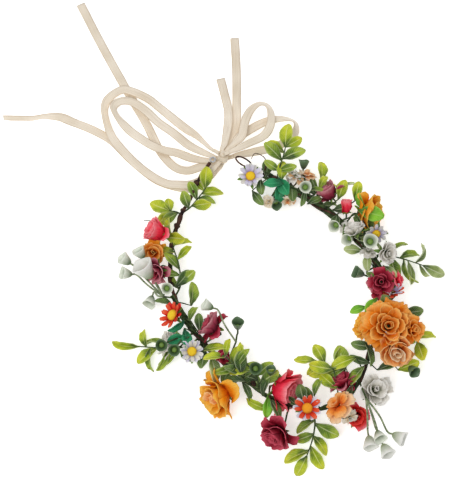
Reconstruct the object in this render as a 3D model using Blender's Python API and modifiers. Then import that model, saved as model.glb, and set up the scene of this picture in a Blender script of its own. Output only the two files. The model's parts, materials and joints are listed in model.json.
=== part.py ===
"""Flower crown: an open vine hoop dressed with wired paper flowers, leaf sprigs and seed bells.

The crown lies flat on a surface at z = 0 with its open back towards +Y, where a satin ribbon ties the
two ends in a bow. The origin is the middle of the head opening, on the surface. Sizes are in metres.

Every flower, sprig and bell is one wired piece. It is modelled in the frame of the place where its wire
is tied to the vine: X outwards, Y along the vine towards its right-hand end, Z up, with the origin on
the vine's centre-line. It is then slid or turned about that place until it is clear of its neighbours.
"""

import math
from dataclasses import dataclass

import bmesh
import bpy
import numpy as np
from mathutils import Matrix, Vector
from mathutils.bvhtree import BVHTree

MM = 0.001

# Driving dimensions ---------------------------------------------------------------------------------
HOOP_WIDTH = 148 * MM          # centre-line of the vine, left to right
HOOP_LENGTH = 208 * MM         # centre-line of the vine, front to back
VINE_HEIGHT = 13 * MM          # centre-line of the vine above the surface
VINE_DIAMETER = 4.4 * MM
VINE_TIP_SHARE = 0.55          # how far the vine's bare end thins out
CLEARANCE = 0.3 * MM           # between any two pieces
ARM_GAP = 0.6 * MM             # between the bare arm and the rest of the vine, where the arm bends
WIRE_DIAMETER = 1.4 * MM       # the stem of a flower, sprig or bell
LOOP_WIRE_DIAMETER = 1.6 * MM  # the wire loop at the right-hand end
LOOP_WIDTH = 7 * MM
LOOP_LENGTH = 15 * MM
EYELET_DIAMETER = 5.0 * MM
EYELET_WIRE = 1.3 * MM
KNOT_DIAMETER = 7.2 * MM
KNOT_HEIGHT = 13 * MM
KNOT_MIDDLE = 10.5 * MM        # above the surface
RIBBON_WIDTH = 6.5 * MM
RIBBON_THICKNESS = 0.6 * MM
LEAF_LENGTH = 17 * MM
LEAF_WIDTH = 8.5 * MM
LEAF_THICKNESS = 1.0 * MM
BIG_ROSE_DIAMETER = 37 * MM
ROSE_DIAMETER = 24 * MM
SMALL_ROSE_DIAMETER = 17 * MM
DAISY_DIAMETER = 17 * MM
BELL_DIAMETER = 7.5 * MM
BERRY_DIAMETER = 5.5 * MM
CALYX_DIAMETER = 6 * MM        # the flat underside of a flower head
RIBBON_STEP = 4 * MM           # between the rings of points along a ribbon, the vine and a stem
VINE_STEP = 10 * MM
STEM_STEP = 8 * MM
GRIP = 0.3                     # how far a wire runs into a head, as a share of the head's depth
LEAD = 0.6                     # how far below a bell its wire is already in line, as a share of its depth
TWIG_SHARE = 0.9               # the diameter of a wire beyond a fork, as a share of WIRE_DIAMETER

# Stations are shares of the vine's length, from its left-hand end.
ARM_JOINT = 0.105
HOOP_END = 0.965

# The hoop's outline as shares of half its width and half its length, from the left-hand end round the
# front to the right-hand end.
OUTLINE = [
    (-0.06, 1.00), (-0.28, 0.89), (-0.45, 0.77), (-0.62, 0.66), (-0.84, 0.44), (-0.97, 0.18),
    (-0.96, -0.08), (-0.85, -0.32), (-0.66, -0.58), (-0.40, -0.87), (-0.06, -0.99), (0.28, -0.95),
    (0.58, -0.74), (0.80, -0.62), (0.98, -0.36), (0.97, -0.07), (0.82, 0.23), (0.61, 0.48),
    (0.32, 0.76), (0.11, 0.97),
]

# Heads: a turned profile, as shares of the head's radius and of its depth, from the top down.
ROSE_PROFILE = [(0.0, 1.0), (0.50, 0.95), (0.85, 0.78), (1.0, 0.55), (0.80, 0.28)]
DAISY_PROFILE = [(0.0, 1.0), (0.34, 0.92), (0.42, 0.70), (1.0, 0.80), (0.96, 0.55)]
BELL_PROFILE = [(0.0, 0.90), (0.86, 1.0), (1.0, 0.90), (0.62, 0.20)]
BERRY_PROFILE = [(0.0, 1.0), (0.62, 0.90), (1.0, 0.52), (0.66, 0.14)]


@dataclass(frozen=True)
class Head:
    """A flower head, bell or berry: profile, size, flat foot and where its widest ring is."""

    profile: list
    diameter: float
    depth: float
    foot: float
    rim: float             # as a share of the depth
    sides: int


def head(profile, diameter, depth_share, foot, rim=0.55, sides=10):
    """A head whose depth is a share of its diameter."""
    return Head(profile, diameter, depth_share * diameter, foot, rim, sides)


HEADS = {
    "big rose": head(ROSE_PROFILE, BIG_ROSE_DIAMETER, 0.55, CALYX_DIAMETER, sides=14),
    "rose": head(ROSE_PROFILE, ROSE_DIAMETER, 0.62, CALYX_DIAMETER),
    "small rose": head(ROSE_PROFILE, SMALL_ROSE_DIAMETER, 0.75, CALYX_DIAMETER, sides=8),
    "daisy": head(DAISY_PROFILE, DAISY_DIAMETER, 0.42, 0.6 * CALYX_DIAMETER, 0.8),
    "bell": head(BELL_PROFILE, BELL_DIAMETER, 1.05, 0.3 * BELL_DIAMETER, 0.94, 6),
    "big bell": head(BELL_PROFILE, 1.6 * BELL_DIAMETER, 0.94, 0.3 * BELL_DIAMETER, 0.94, 8),
    "berry": head(BERRY_PROFILE, BERRY_DIAMETER, 1.1, 0.3 * BERRY_DIAMETER, 0.52, 6),
}

COLOURS = {
    "vine": (0.10, 0.045, 0.022),
    "wire": (0.06, 0.16, 0.05),
    "ribbon": (0.90, 0.80, 0.66),
    "eyelet": (0.75, 0.76, 0.78),
    "leaf": (0.14, 0.36, 0.05),
    "bell": (0.62, 0.74, 0.55),
    "berry": (0.05, 0.12, 0.06),
    "orange": (0.95, 0.36, 0.06),
    "peach": (0.96, 0.56, 0.26),
    "white": (0.88, 0.88, 0.84),
    "red": (0.75, 0.05, 0.03),
    "burgundy": (0.25, 0.02, 0.07),
    "pink": (0.90, 0.17, 0.25),
    "mauve": (0.42, 0.09, 0.20),
}


@dataclass(frozen=True)
class Flower:
    """A flower on its wire: where it is tied, where its widest ring lies and which way it faces."""

    name: str
    head: str
    colour: str
    station: float
    reach: float           # of the widest ring's middle, outwards from the vine
    height: float | None   # of the same point above the surface; None rests the head on the surface
    lean: float            # degrees from facing straight up
    faces: float           # degrees round from +X, the way it leans


@dataclass(frozen=True)
class Sprig:
    """A leafy stem: where it is tied, the points its stem passes and its leaves."""

    name: str
    station: float
    stem: list             # (x, y, z) from the vine's centre-line, in the crown's own directions
    leaves: list           # (share of the stem, degrees from the stem, share of LEAF_LENGTH)


@dataclass(frozen=True)
class Cluster:
    """Bells or berries on wires that share one tie."""

    name: str
    station: float
    heads: list            # (head, (x, y, z) of its foot from the vine's centre-line, lean, faces)
    fork: tuple            # where the wires part


def mm(*values):
    """A vector given in millimetres."""
    return Vector([value * MM for value in values])


# The planting plan. Reach and height are in millimetres, angles in degrees.
FLOWERS = [
    Flower("rose_white_front", "rose", "white", 0.552, 15.0, None, 0, -42),
    Flower("rose_orange_left", "rose", "orange", 0.366, 18.0, None, 75, 193),
    Flower("rose_pink_left", "small rose", "pink", 0.133, 16.0, None, 75, 88),
    Flower("rose_orange_right", "rose", "orange", 0.800, 18.0, None, 80, -32),
    Flower("rose_white_left", "small rose", "white", 0.268, 16.0, None, 70, 148),
    Flower("rose_orange_big", "big rose", "orange", 0.640, 3.0, 29.0, 12, -112),
    Flower("rose_orange_side", "small rose", "orange", 0.615, -17.0, 16.0, 50, 158),
    Flower("rose_peach", "rose", "peach", 0.612, 21.0, 16.0, 35, -90),
    Flower("rose_red_front", "small rose", "red", 0.522, 16.0, 12.0, 20, -112),
    Flower("flower_peach_front", "small rose", "peach", 0.512, 1.0, 28.0, 50, 128),
    Flower("rose_burgundy_inner", "small rose", "burgundy", 0.536, -11.0, 18.0, 60, 100),
    Flower("daisy_red_front", "daisy", "red", 0.472, 2.0, 24.0, 10, -112),
    Flower("rose_pink_front", "rose", "pink", 0.440, -12.0, 20.0, 70, 0),
    Flower("rose_burgundy_hanging", "rose", "burgundy", 0.446, 24.0, 13.0, 75, 213),
    Flower("daisy_white_left", "daisy", "white", 0.303, 12.0, 22.0, 15, -112),
    Flower("rose_mauve_left", "small rose", "mauve", 0.300, -14.0, 17.0, 70, 128),
    Flower("daisy_orange_left", "daisy", "red", 0.248, 9.0, 23.0, 45, 148),
    Flower("rose_orange_small", "small rose", "orange", 0.162, 14.0, 17.0, 25, -112),
    Flower("rose_mauve_side", "small rose", "mauve", 0.190, 11.0, 20.0, 60, -150),
    Flower("daisy_white_back", "daisy", "white", 0.958, -9.0, 20.0, 10, -112),
    Flower("rose_white_back", "small rose", "white", 0.908, 14.0, 12.0, 60, 38),
    Flower("flower_green_back", "small rose", "white", 0.905, -12.0, 10.0, 60, -135),
    Flower("rose_mauve_right", "small rose", "mauve", 0.852, 13.0, 14.0, 60, 38),
    Flower("bud_pink_right", "berry", "pink", 0.825, 11.0, 20.0, 60, 68),
    Flower("rose_white_right", "small rose", "white", 0.790, -9.0, 24.0, 40, 38),
    Flower("daisy_blue_right", "daisy", "white", 0.768, 10.0, 22.0, 50, -112),
    Flower("rose_white_outer", "small rose", "white", 0.735, 13.0, 22.0, 70, -60),
    Flower("rose_burgundy_right", "small rose", "burgundy", 0.702, -5.0, 27.0, 20, -112),
    Flower("rose_pink_right", "small rose", "pink", 0.702, 15.0, 16.0, 60, -20),
]

# Stem points and leaves: (share of the stem, degrees to its left, share of LEAF_LENGTH).
SPRIGS = [
    Sprig("sprig_back", 0.925, [(6, 10, 2), (14, 22, 3), (20, 33, 1)],
          [(0.40, 60, 0.8), (0.55, -55, 0.8), (0.80, -35, 0.7), (1.0, 15, 1.1)]),
    Sprig("sprig_arm_inner", 0.070, [(8, 2, 1), (18, 5, 2), (26, 9, 1)],
          [(0.35, -40, 0.9), (0.60, 60, 0.9), (0.75, -40, 0.9), (1.0, 25, 1.0)]),
    Sprig("sprig_arm_outer", 0.078, [(-6, 6, -1), (-10, 13, -3)],
          [(0.60, 50, 0.9), (1.0, -10, 1.0)]),
    Sprig("sprig_left_inner", 0.225, [(8, 8, 1), (12, 22, 3), (13, 34, 3), (15, 46, 2)],
          [(0.25, -45, 0.7), (0.45, 30, 0.9), (0.60, -60, 0.8), (0.80, -70, 0.9), (1.0, 10, 1.1)]),
    Sprig("sprig_left_outer", 0.292, [(-10, -2, -3), (-26, 4, -5), (-42, 12, -6)],
          [(0.35, 45, 0.9), (0.55, -40, 0.8), (0.72, 40, 0.9), (1.0, 5, 1.0)]),
    Sprig("sprig_centre_left", 0.372, [(-2, 6, 6), (-7, 17, 8)],
          [(0.40, -80, 0.9), (0.45, 75, 1.0), (0.90, -50, 0.8), (1.0, 40, 0.9)]),
    Sprig("sprig_centre", 0.400, [(2, 9, 2), (-2, 20, 5)],
          [(0.45, -70, 0.9), (0.75, 60, 0.8), (1.0, -15, 0.9)]),
    Sprig("sprig_front_inner", 0.560, [(-8, 8, 1), (-16, 17, 2), (-24, 25, 1)],
          [(0.35, -55, 1.1), (0.60, 50, 1.0), (0.75, -50, 0.9), (1.0, 10, 1.0)]),
    Sprig("sprig_front_outer", 0.480, [(-2, -9, -2), (-8, -19, -5), (-17, -29, -8)],
          [(0.30, 65, 1.0), (0.50, -60, 0.9), (0.75, 50, 1.1), (0.85, -45, 1.0), (1.0, -5, 1.0)]),
    Sprig("sprig_right_front", 0.645, [(11, -7, -4), (19, -19, -6)],
          [(0.55, 60, 0.7), (0.85, 55, 1.0), (1.0, -40, 0.9)]),
    Sprig("sprig_right", 0.750, [(9, -2, -1), (21, -10, -2), (34, -20, -5)],
          [(0.30, 60, 0.8), (0.50, 50, 0.9), (0.65, -65, 0.9), (0.80, 50, 0.9), (1.0, -10, 0.9)]),
    Sprig("sprig_right_back", 0.845, [(6, 9, 0), (13, 17, -2)],
          [(0.50, 55, 0.9), (0.75, -50, 0.8), (1.0, 10, 0.9)]),
]

CLUSTERS = [
    Cluster("bells_left", 0.225,
            [("bell", (-22, 38, 0), 60, 120), ("bell", (-25, 28, 0), 60, 160),
             ("big bell", (-13, 24, 4), 50, 110), ("bell", (-20, 6, -3), 70, 200)],
            (-7, 4, 0)),
    Cluster("bells_centre", 0.345, [("bell", (5, 38, 14), 70, 140), ("bell", (17, 21, 0), 30, 68)],
            (12, 12, 2.4)),
    Cluster("berries_left", 0.283, [("berry", (-15, 5, 9), 20, 150), ("berry", (-17, -4, 8), 20, -150)],
            (-7, 0, 5)),
    Cluster("bells_front", 0.560,
            [("bell", (-1, -28, -3), 80, -80), ("bell", (7, -37, -4), 80, -75),
             ("bell", (17, -32, -3), 80, -60)],
            (-2, -15, 9)),
    Cluster("bells_back", 0.892, [("bell", (12, 21, -1), 60, 60), ("bell", (4, -8, 9), 20, -112)],
            (4, 4, 6)),
    Cluster("bell_inner", 0.735, [("bell", (-13, -4, 0), 60, 180)], (-7, -1, 0)),
]

# Ribbon strands: (x, y) from the middle of the knot and z above the surface, in millimetres, then how far
# the strand is turned from lying flat, in degrees, and its share of the full width.
STRANDS = {
    "ribbon_tail_upper": [
        (-5, -1.5, 6, 0, 0.4), (-12, 0, 6, 0, 0.8), (-19, 1, 6, 0, 1), (-28, 2, 5.5, 0, 1),
        (-35, 8, 4, 0, 1), (-39, 18, 2.5, 0, 1), (-41, 29, 1.5, 0, 1), (-42, 50, 1, 0, 1),
        (-44, 67, 1, 0, 1), (-46, 84, 1, 0, 1), (-50, 124, 1, 0, 1), (-53, 165, 1, 0, 1),
    ],
    "ribbon_loop_left_outer": [
        (-3, 5, 12, 60, 0.4), (-6, 10, 10, 60, 0.5), (-12, 25, 8, 50, 0.9), (-18, 36, 6.5, 20, 1),
        (-28, 57, 5, 0, 1), (-34, 69, 4, 0, 1), (-43, 79, 4, 0, 1), (-49, 83, 4, 0, 1),
        (-57, 82, 4, 0, 1), (-64, 78, 4, 20, 1), (-68, 71, 4.5, 40, 1), (-70, 59, 4.5, 30, 1),
        (-70, 47, 4, 0, 1), (-65, 31, 3.5, 0, 1), (-60, 19, 3.5, 0, 1), (-53, 7, 3.5, 0, 1),
        (-46, -1, 3.5, 0, 1), (-39, -5, 4, 0, 1), (-30, -9, 5, 0, 1), (-19, -9, 7, 0, 0.9),
        (-10, -5.5, 9.5, 0, 0.6), (-4.5, -3, 10.5, 0, 0.4),
    ],
    "ribbon_loop_left_inner": [
        (-4.5, 2, 9, 0, 0.4), (-12, 10, 8.5, 0, 0.8), (-20, 20, 8, 0, 1), (-27, 34, 7.5, 0, 1),
        (-34, 46, 7, 0, 1), (-39, 58, 6.8, 0, 1), (-45, 68, 6.8, 0, 1), (-50, 72, 7, 0, 1),
        (-56, 73, 7.5, 0, 1), (-61, 70, 8, 40, 1), (-61, 62, 8, 40, 1), (-57, 49, 7, 0, 1),
        (-51, 39, 6, 0, 1), (-45, 31, 5, 0, 1), (-38, 24, 5, 0, 1), (-30, 18, 6, 0, 1),
        (-22, 10, 6.8, 0, 1), (-13, 4, 7.3, 0, 0.7), (-5, 0.5, 7.5, 0, 0.4),
    ],
    "ribbon_tail_lower": [
        (-4, -4, 4.5, 0, 0.4), (-10, -6, 3.5, 0, 0.8), (-18, -9, 2.5, 0, 1), (-29, -11, 1.6, 0, 1),
        (-39, -6, 1, 0, 1), (-52, 6, 1, 0, 1), (-63, 27, 1, 0, 1), (-67, 37, 1, 0, 1),
        (-72, 49, 1, 0, 1), (-82, 62, 1, 0, 1), (-93, 73, 1, 0, 1), (-101, 80, 2.2, 40, 1),
        (-112, 84, 4, 80, 1), (-121, 86, 4, 80, 1), (-130, 90, 2.5, 40, 1), (-141, 95, 1, 0, 1),
    ],
    "ribbon_tail_short_left": [
        (1, 5, 13.5, 0, 0.4), (6, 11, 11.5, 0, 0.8), (14, 25, 7, 0, 1), (19, 37, 4, 0, 1),
        (22, 52, 1.5, 0, 1), (24, 65, 1, 0, 1),
    ],
    "ribbon_tail_short_right": [
        (3, 4.5, 10, 0, 0.4), (8, 9, 8.5, 0, 0.8), (19, 22, 4, 0, 1), (28, 42, 1.3, 0, 1),
        (38, 67, 1, 0, 1), (47, 93, 1, 0, 1),
    ],
    "ribbon_loop_right_inner": [
        (4.5, 3, 13.5, 0, 0.4), (11, 6, 13.2, 0, 0.7), (19, 10, 12.5, 0, 1), (27, 22, 11, 0, 1),
        (36, 30, 9, 20, 1), (44, 31, 8.5, 40, 1), (48, 25, 8.5, 40, 1), (44, 13, 10.5, 20, 1),
        (35, 4, 13.5, 0, 1), (21, 1, 16.5, 0, 0.9), (11, 0, 16.8, 0, 0.7), (4.5, 0, 16, 0, 0.4),
    ],
    "ribbon_loop_right_outer": [
        (5, 2, 10.5, 0, 0.4), (10, 6, 9.5, 0, 0.7), (19, 12, 8.5, 0, 1), (39, 17, 5.5, 0, 1),
        (52, 16, 4.5, 20, 1), (61, 11, 4.5, 50, 1), (62, 5, 4.5, 50, 1), (56, -1, 5, 20, 1),
        (41, -5, 6, 0, 1), (24, -3, 6.5, 0, 1), (12, -1, 6.8, 0, 0.7), (5, -0.5, 7, 0, 0.4),
    ],
}


# Lines ----------------------------------------------------------------------------------------------
def smooth_line(points, step):
    """Points a step apart on the Catmull-Rom curve through the given ones; columns past z follow along."""
    knots = np.array(points, float)
    knots = np.vstack([2 * knots[0] - knots[1], knots, 2 * knots[-1] - knots[-2]])
    fine = []
    for a, b, c, d in zip(knots, knots[1:], knots[2:], knots[3:]):
        for t in np.linspace(0, 1, 24, endpoint=False):
            fine.append(0.5 * (2 * b + (c - a) * t + (2 * a - 5 * b + 4 * c - d) * t**2
                               + (3 * b - a - 3 * c + d) * t**3))
    fine = np.array(fine + [knots[-2]])
    run = np.append(0, np.cumsum(np.linalg.norm(np.diff(fine[:, :3], axis=0), axis=1)))
    stops = np.linspace(0, run[-1], max(2, round(run[-1] / step) + 1))
    return np.array([[np.interp(s, run, column) for column in fine.T] for s in stops])


class Vine:
    """The hoop's centre-line, and the places along it."""

    def __init__(self):
        half = (HOOP_WIDTH / 2, HOOP_LENGTH / 2)
        points = [(x * half[0], y * half[1], VINE_HEIGHT) for x, y in OUTLINE]
        self.line = smooth_line(points, 1 * MM)
        self.length = len(self.line) - 1

    def point(self, station):
        """The centre-line's point at a share of its length."""
        place = min(max(station, 0), 1) * self.length
        low = min(int(place), self.length - 1)
        return Vector(self.line[low]).lerp(Vector(self.line[low + 1]), place - low)

    def frame(self, station):
        """A matrix with X outwards, Y along the vine and Z up, at a station."""
        along = (self.point(station + 0.01) - self.point(station - 0.01)).normalized()
        outward = along.cross(Vector((0, 0, 1)))
        turn = Matrix((outward, along, (0, 0, 1))).transposed()
        return Matrix.Translation(self.point(station)) @ turn.to_4x4()

    def share(self, distance):
        """A distance along the vine as a share of its length."""
        return distance / (self.length * MM)

    def stretch(self, start, stop):
        """Evenly spaced points between two stations."""
        steps = max(2, round((stop - start) * self.length * MM / VINE_STEP))
        return [self.point(start + (stop - start) * i / steps) for i in range(steps + 1)]


# Scene helpers --------------------------------------------------------------------------------------
def clear_scene():
    """Removes the objects that the file opened with and makes the two collections."""
    for old in list(bpy.data.objects):
        bpy.data.objects.remove(old)
    for name in ("Flower crown", "Cutters"):
        bpy.context.scene.collection.children.link(bpy.data.collections.new(name))


def finish(colour, roughness=0.6, metallic=0.0):
    """The Principled material of a colour named in COLOURS."""
    found = bpy.data.materials.get(colour)
    if found:
        return found
    made = bpy.data.materials.new(colour)
    made.use_nodes = True
    shader = made.node_tree.nodes["Principled BSDF"]
    shader.inputs["Base Color"].default_value = (*COLOURS[colour], 1)
    shader.inputs["Roughness"].default_value = roughness
    shader.inputs["Metallic"].default_value = metallic
    return made


def add(name, data, collection="Flower crown"):
    """A new object that holds the given mesh or curve."""
    made = bpy.data.objects.new(name, data)
    bpy.data.collections[collection].objects.link(made)
    return made


def baked(obj):
    """The object's evaluated mesh in its own space, with its caps welded; the object is removed."""
    bpy.context.view_layer.update()
    graph = bpy.context.evaluated_depsgraph_get()
    mesh = bpy.data.meshes.new_from_object(obj.evaluated_get(graph))
    work = bmesh.new()
    work.from_mesh(mesh)
    bmesh.ops.remove_doubles(work, verts=work.verts, dist=0.001 * MM)
    work.transform(obj.matrix_world)
    work.to_mesh(mesh)
    work.free()
    bpy.data.objects.remove(obj)
    return mesh


def united(meshes):
    """One closed mesh from overlapping closed ones."""
    pieces = [add(f"piece {i}", mesh, "Cutters") for i, mesh in enumerate(meshes)]
    for other in pieces[1:]:
        join = pieces[0].modifiers.new("Join", "BOOLEAN")
        join.operation = "UNION"
        join.object = other
    made = baked(pieces[0])
    for other in pieces[1:]:
        bpy.data.objects.remove(other)
    return made


def wire_curve(points, diameter, shares=None, sides=2):
    """A round wire through the points; shares scale its diameter at each of them."""
    curve = bpy.data.curves.new("wire", "CURVE")
    curve.dimensions = "3D"
    curve.bevel_depth = diameter / 2
    curve.bevel_resolution = sides
    curve.use_fill_caps = True
    spline = curve.splines.new("POLY")
    spline.points.add(len(points) - 1)
    for i, (point, place) in enumerate(zip(spline.points, points)):
        point.co = (*place, 1)
        point.radius = shares[i] if shares else 1
    return curve


def wire_mesh(points, diameter, shares=None):
    """A thin wire as a closed mesh, for joining."""
    return baked(add("wire", wire_curve(points, diameter, shares, 0), "Cutters"))


def towards(lean, faces):
    """The direction of a lean from straight up, towards an angle round from +X, both in degrees."""
    lean, faces = math.radians(lean), math.radians(faces)
    return Vector((math.sin(lean) * math.cos(faces), math.sin(lean) * math.sin(faces), math.cos(lean)))


def aimed(foot, direction):
    """A matrix that carries +Z to a direction and the origin to a foot."""
    return Matrix.Translation(foot) @ direction.to_track_quat("Z", "Y").to_matrix().to_4x4()


# Shapes ---------------------------------------------------------------------------------------------
def head_mesh(shape, foot, direction):
    """A turned flower head, bell or berry, standing on its foot."""
    radius = shape.diameter / 2
    ring = [(r * radius, z * shape.depth) for r, z in shape.profile] + [(shape.foot / 2, 0), (0, 0)]
    mesh = bpy.data.meshes.new("head")
    edges = [(i, i + 1) for i in range(len(ring) - 1)]
    mesh.from_pydata([(r, 0, z) for r, z in ring], edges, [])
    made = add("head", mesh, "Cutters")
    screw = made.modifiers.new("Turn", "SCREW")
    screw.steps = screw.render_steps = shape.sides
    screw.use_merge_vertices = True
    screw.merge_threshold = 0.01 * MM
    made.matrix_world = aimed(foot, direction)
    return baked(made)


def leaf_mesh(foot, direction, length):
    """A plain leaf: a flattened ball with its foot on the stem, its broad side up."""
    work = bmesh.new()
    bmesh.ops.create_uvsphere(work, u_segments=6, v_segments=4, radius=0.5)
    side = Vector((0, 0, 1)).cross(direction).normalized()
    turn = Matrix((direction, side, direction.cross(side))).transposed().to_4x4()
    width = LEAF_WIDTH * length / LEAF_LENGTH
    bmesh.ops.rotate(work, verts=work.verts, matrix=Matrix.Rotation(math.pi / 2, 3, "Y"))
    bmesh.ops.scale(work, verts=work.verts, vec=(length, width, LEAF_THICKNESS))
    bmesh.ops.translate(work, verts=work.verts, vec=(length / 2 - WIRE_DIAMETER, 0, 0))
    work.transform(Matrix.Translation(foot) @ turn)
    mesh = bpy.data.meshes.new("leaf")
    work.to_mesh(mesh)
    work.free()
    return mesh


def wire_start(target):
    """Where a wire leaves the vine, and a point just beyond, in the frame of its tie."""
    out = Vector((target.x, 0, target.z)).normalized()
    start = out * (VINE_DIAMETER / 2 + CLEARANCE)
    return [start, start + out * WIRE_DIAMETER]


def flower_mesh(plan, turn):
    """A flower head on its wire, in the frame of its tie. Turn takes the crown's directions to it."""
    bloom_head = HEADS[plan.head]
    direction = turn @ towards(plan.lean, plan.faces)
    reach = plan.reach * MM
    if plan.height is None:
        reach = max(reach, bloom_head.diameter / 2 + VINE_DIAMETER / 2 + 2 * CLEARANCE)
    rim = Vector((reach, 0, (plan.height or 0) * MM - VINE_HEIGHT))
    foot = rim - direction * bloom_head.rim * bloom_head.depth
    bloom = head_mesh(bloom_head, foot, direction)
    if plan.height is None:
        drop = Vector((0, 0, -VINE_HEIGHT - min(v.co.z for v in bloom.vertices)))
        bloom.transform(Matrix.Translation(drop))
        foot += drop
    wire = wire_start(foot) + [foot + direction * bloom_head.depth * GRIP]
    return united([bloom, wire_mesh(wire, WIRE_DIAMETER)])


def sprig_mesh(plan, turn):
    """A stem with its leaves, in the frame of its tie."""
    points = [turn @ mm(*point) for point in plan.stem]
    stem = wire_start(points[0]) + points
    line = smooth_line(stem[1:], STEM_STEP)
    meshes = [wire_mesh([stem[0], *map(Vector, line)], WIRE_DIAMETER)]
    for share, side, length in plan.leaves:
        place = share * (len(line) - 1)
        low = min(int(place), len(line) - 2)
        ahead = Vector(line[low + 1]) - Vector(line[low])
        foot = Vector(line[low]).lerp(Vector(line[low + 1]), place - low)
        direction = Matrix.Rotation(math.radians(side), 3, "Z") @ ahead.normalized()
        meshes.append(leaf_mesh(foot, direction, length * LEAF_LENGTH))
    return united(meshes)


def cluster_mesh(plan, turn):
    """Bells or berries on wires that part at a fork, in the frame of their tie."""
    fork = turn @ mm(*plan.fork)
    start = wire_start(fork)
    beyond = fork + (fork - start[1]).normalized() * WIRE_DIAMETER
    meshes = [wire_mesh([*start, fork, beyond], WIRE_DIAMETER)]
    for kind, place, lean, faces in plan.heads:
        shape = HEADS[kind]
        foot = turn @ mm(*place)
        direction = turn @ towards(lean, faces)
        bend = foot - direction * shape.depth * LEAD
        wire = [fork, (fork + bend) / 2, bend, foot + direction * shape.depth * GRIP]
        meshes.append(wire_mesh(wire, TWIG_SHARE * WIRE_DIAMETER))
        meshes.append(head_mesh(shape, foot, direction))
    return united(meshes)


# Planting -------------------------------------------------------------------------------------------
class Crown:
    """The pieces placed so far, and the search that keeps a new one clear of them."""

    def __init__(self):
        self.vine = Vine()
        self.tie = (self.vine.point(0) + self.vine.point(1)) / 2
        self.placed = []

    def settle(self, name, mesh, colour, matrix=Matrix()):
        """Adds an object and keeps its surface for the pieces that come after it."""
        made = add(name, mesh)
        made.matrix_world = matrix
        mesh.materials.clear()
        mesh.materials.append(finish(colour))
        mesh.shade_smooth()
        self.placed.append(surface_of(mesh, matrix, 0))

    def plant(self, plan, make, colour):
        """Makes a wired piece at its station, then tries small moves until it touches nothing."""
        turn = self.vine.frame(plan.station).to_3x3().inverted()
        mesh = make(plan, turn)
        for slide, yaw, roll in MOVES:
            move = Matrix.Rotation(yaw, 4, "Z") @ Matrix.Rotation(roll, 4, "Y")
            matrix = self.vine.frame(plan.station + self.vine.share(slide)) @ move
            if self.is_clear(mesh, matrix):
                break
        self.settle(plan.name, mesh, colour, matrix)

    def is_clear(self, mesh, matrix):
        """Whether the mesh, grown by the clearance, touches no piece and stays above the surface."""
        tree, low, high = surface_of(mesh, matrix, CLEARANCE)
        if low.z < -1.01 * CLEARANCE:
            return False
        for other, other_low, other_high in self.placed:
            apart = any(low[i] > other_high[i] or high[i] < other_low[i] for i in range(3))
            if not apart and tree.overlap(other):
                return False
        return True


def surface_of(mesh, matrix, growth):
    """A search tree of the mesh's surface, moved outwards by a growth, and the corners of its box."""
    turn = matrix.to_3x3()
    points = [matrix @ v.co + turn @ v.normal * growth for v in mesh.vertices]
    tree = BVHTree.FromPolygons(points, [tuple(face.vertices) for face in mesh.polygons])
    low = Vector([min(p[i] for p in points) for i in range(3)])
    high = Vector([max(p[i] for p in points) for i in range(3)])
    return tree, low, high


def moves():
    """Slides along the vine with turns about the tie, the smallest disturbance first."""
    found = []
    for slide in range(-12, 13):
        for yaw in range(-40, 41, 5):
            for roll in range(-40, 41, 8):
                disturbance = abs(slide) + 0.3 * abs(yaw) + 0.35 * abs(roll)
                found.append((disturbance, slide, yaw, roll))
    return [(slide * MM, math.radians(yaw), math.radians(roll)) for _, slide, yaw, roll in sorted(found)]


MOVES = moves()


# The crown ------------------------------------------------------------------------------------------
def build_vine(crown):
    """The bare arm, the dressed hoop, the wire loop at one end and the eyelet at the other."""
    vine = crown.vine
    bare = vine.share(EYELET_DIAMETER + CLEARANCE)
    gap = vine.share(ARM_GAP) / 2
    arm = vine.stretch(bare, ARM_JOINT - gap)
    shares = [min(1, VINE_TIP_SHARE + 0.15 * i) for i in range(len(arm))]
    crown.settle("vine_arm", baked(add("vine_arm", wire_curve(arm, VINE_DIAMETER, shares))), "vine")
    hoop = vine.stretch(ARM_JOINT + gap, HOOP_END)
    crown.settle("vine_hoop", baked(add("vine_hoop", wire_curve(hoop, VINE_DIAMETER))), "vine")
    eyelet = ring_mesh(EYELET_DIAMETER, EYELET_DIAMETER, EYELET_WIRE)
    place = vine.frame(vine.share(EYELET_DIAMETER / 2))
    crown.settle("eyelet_left", eyelet, "eyelet", place)
    loop = ring_mesh(LOOP_WIDTH, LOOP_LENGTH, LOOP_WIRE_DIAMETER)
    place = vine.frame(HOOP_END + vine.share(LOOP_LENGTH / 2 + CLEARANCE))
    crown.settle("wire_loop_right", loop, "vine", place)


def ring_mesh(width, length, wire):
    """A flat ring of round wire, width by length outside."""
    work = bpy.data.curves.new("ring", "CURVE")
    work.dimensions = "3D"
    work.bevel_depth = wire / 2
    work.bevel_resolution = 1
    spline = work.splines.new("POLY")
    sides = 16
    spline.points.add(sides - 1)
    spline.use_cyclic_u = True
    for i, point in enumerate(spline.points):
        angle = 2 * math.pi * i / sides
        point.co = (math.cos(angle) * (width - wire) / 2, math.sin(angle) * (length - wire) / 2, 0, 1)
    return baked(add("ring", work, "Cutters"))


def build_ribbon(crown):
    """The knot at the middle of the tie and the eight strands that leave it."""
    work = bmesh.new()
    bmesh.ops.create_uvsphere(work, u_segments=12, v_segments=8, radius=KNOT_DIAMETER / 2)
    bmesh.ops.scale(work, verts=work.verts, vec=(0.9, 0.9, KNOT_HEIGHT / KNOT_DIAMETER))
    mesh = bpy.data.meshes.new("knot")
    work.to_mesh(mesh)
    work.free()
    middle = Vector((crown.tie.x, crown.tie.y, KNOT_MIDDLE))
    crown.settle("ribbon_knot", mesh, "ribbon", Matrix.Translation(middle))
    for name, route in STRANDS.items():
        crown.settle(name, strand_mesh(crown, route), "ribbon")


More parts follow.
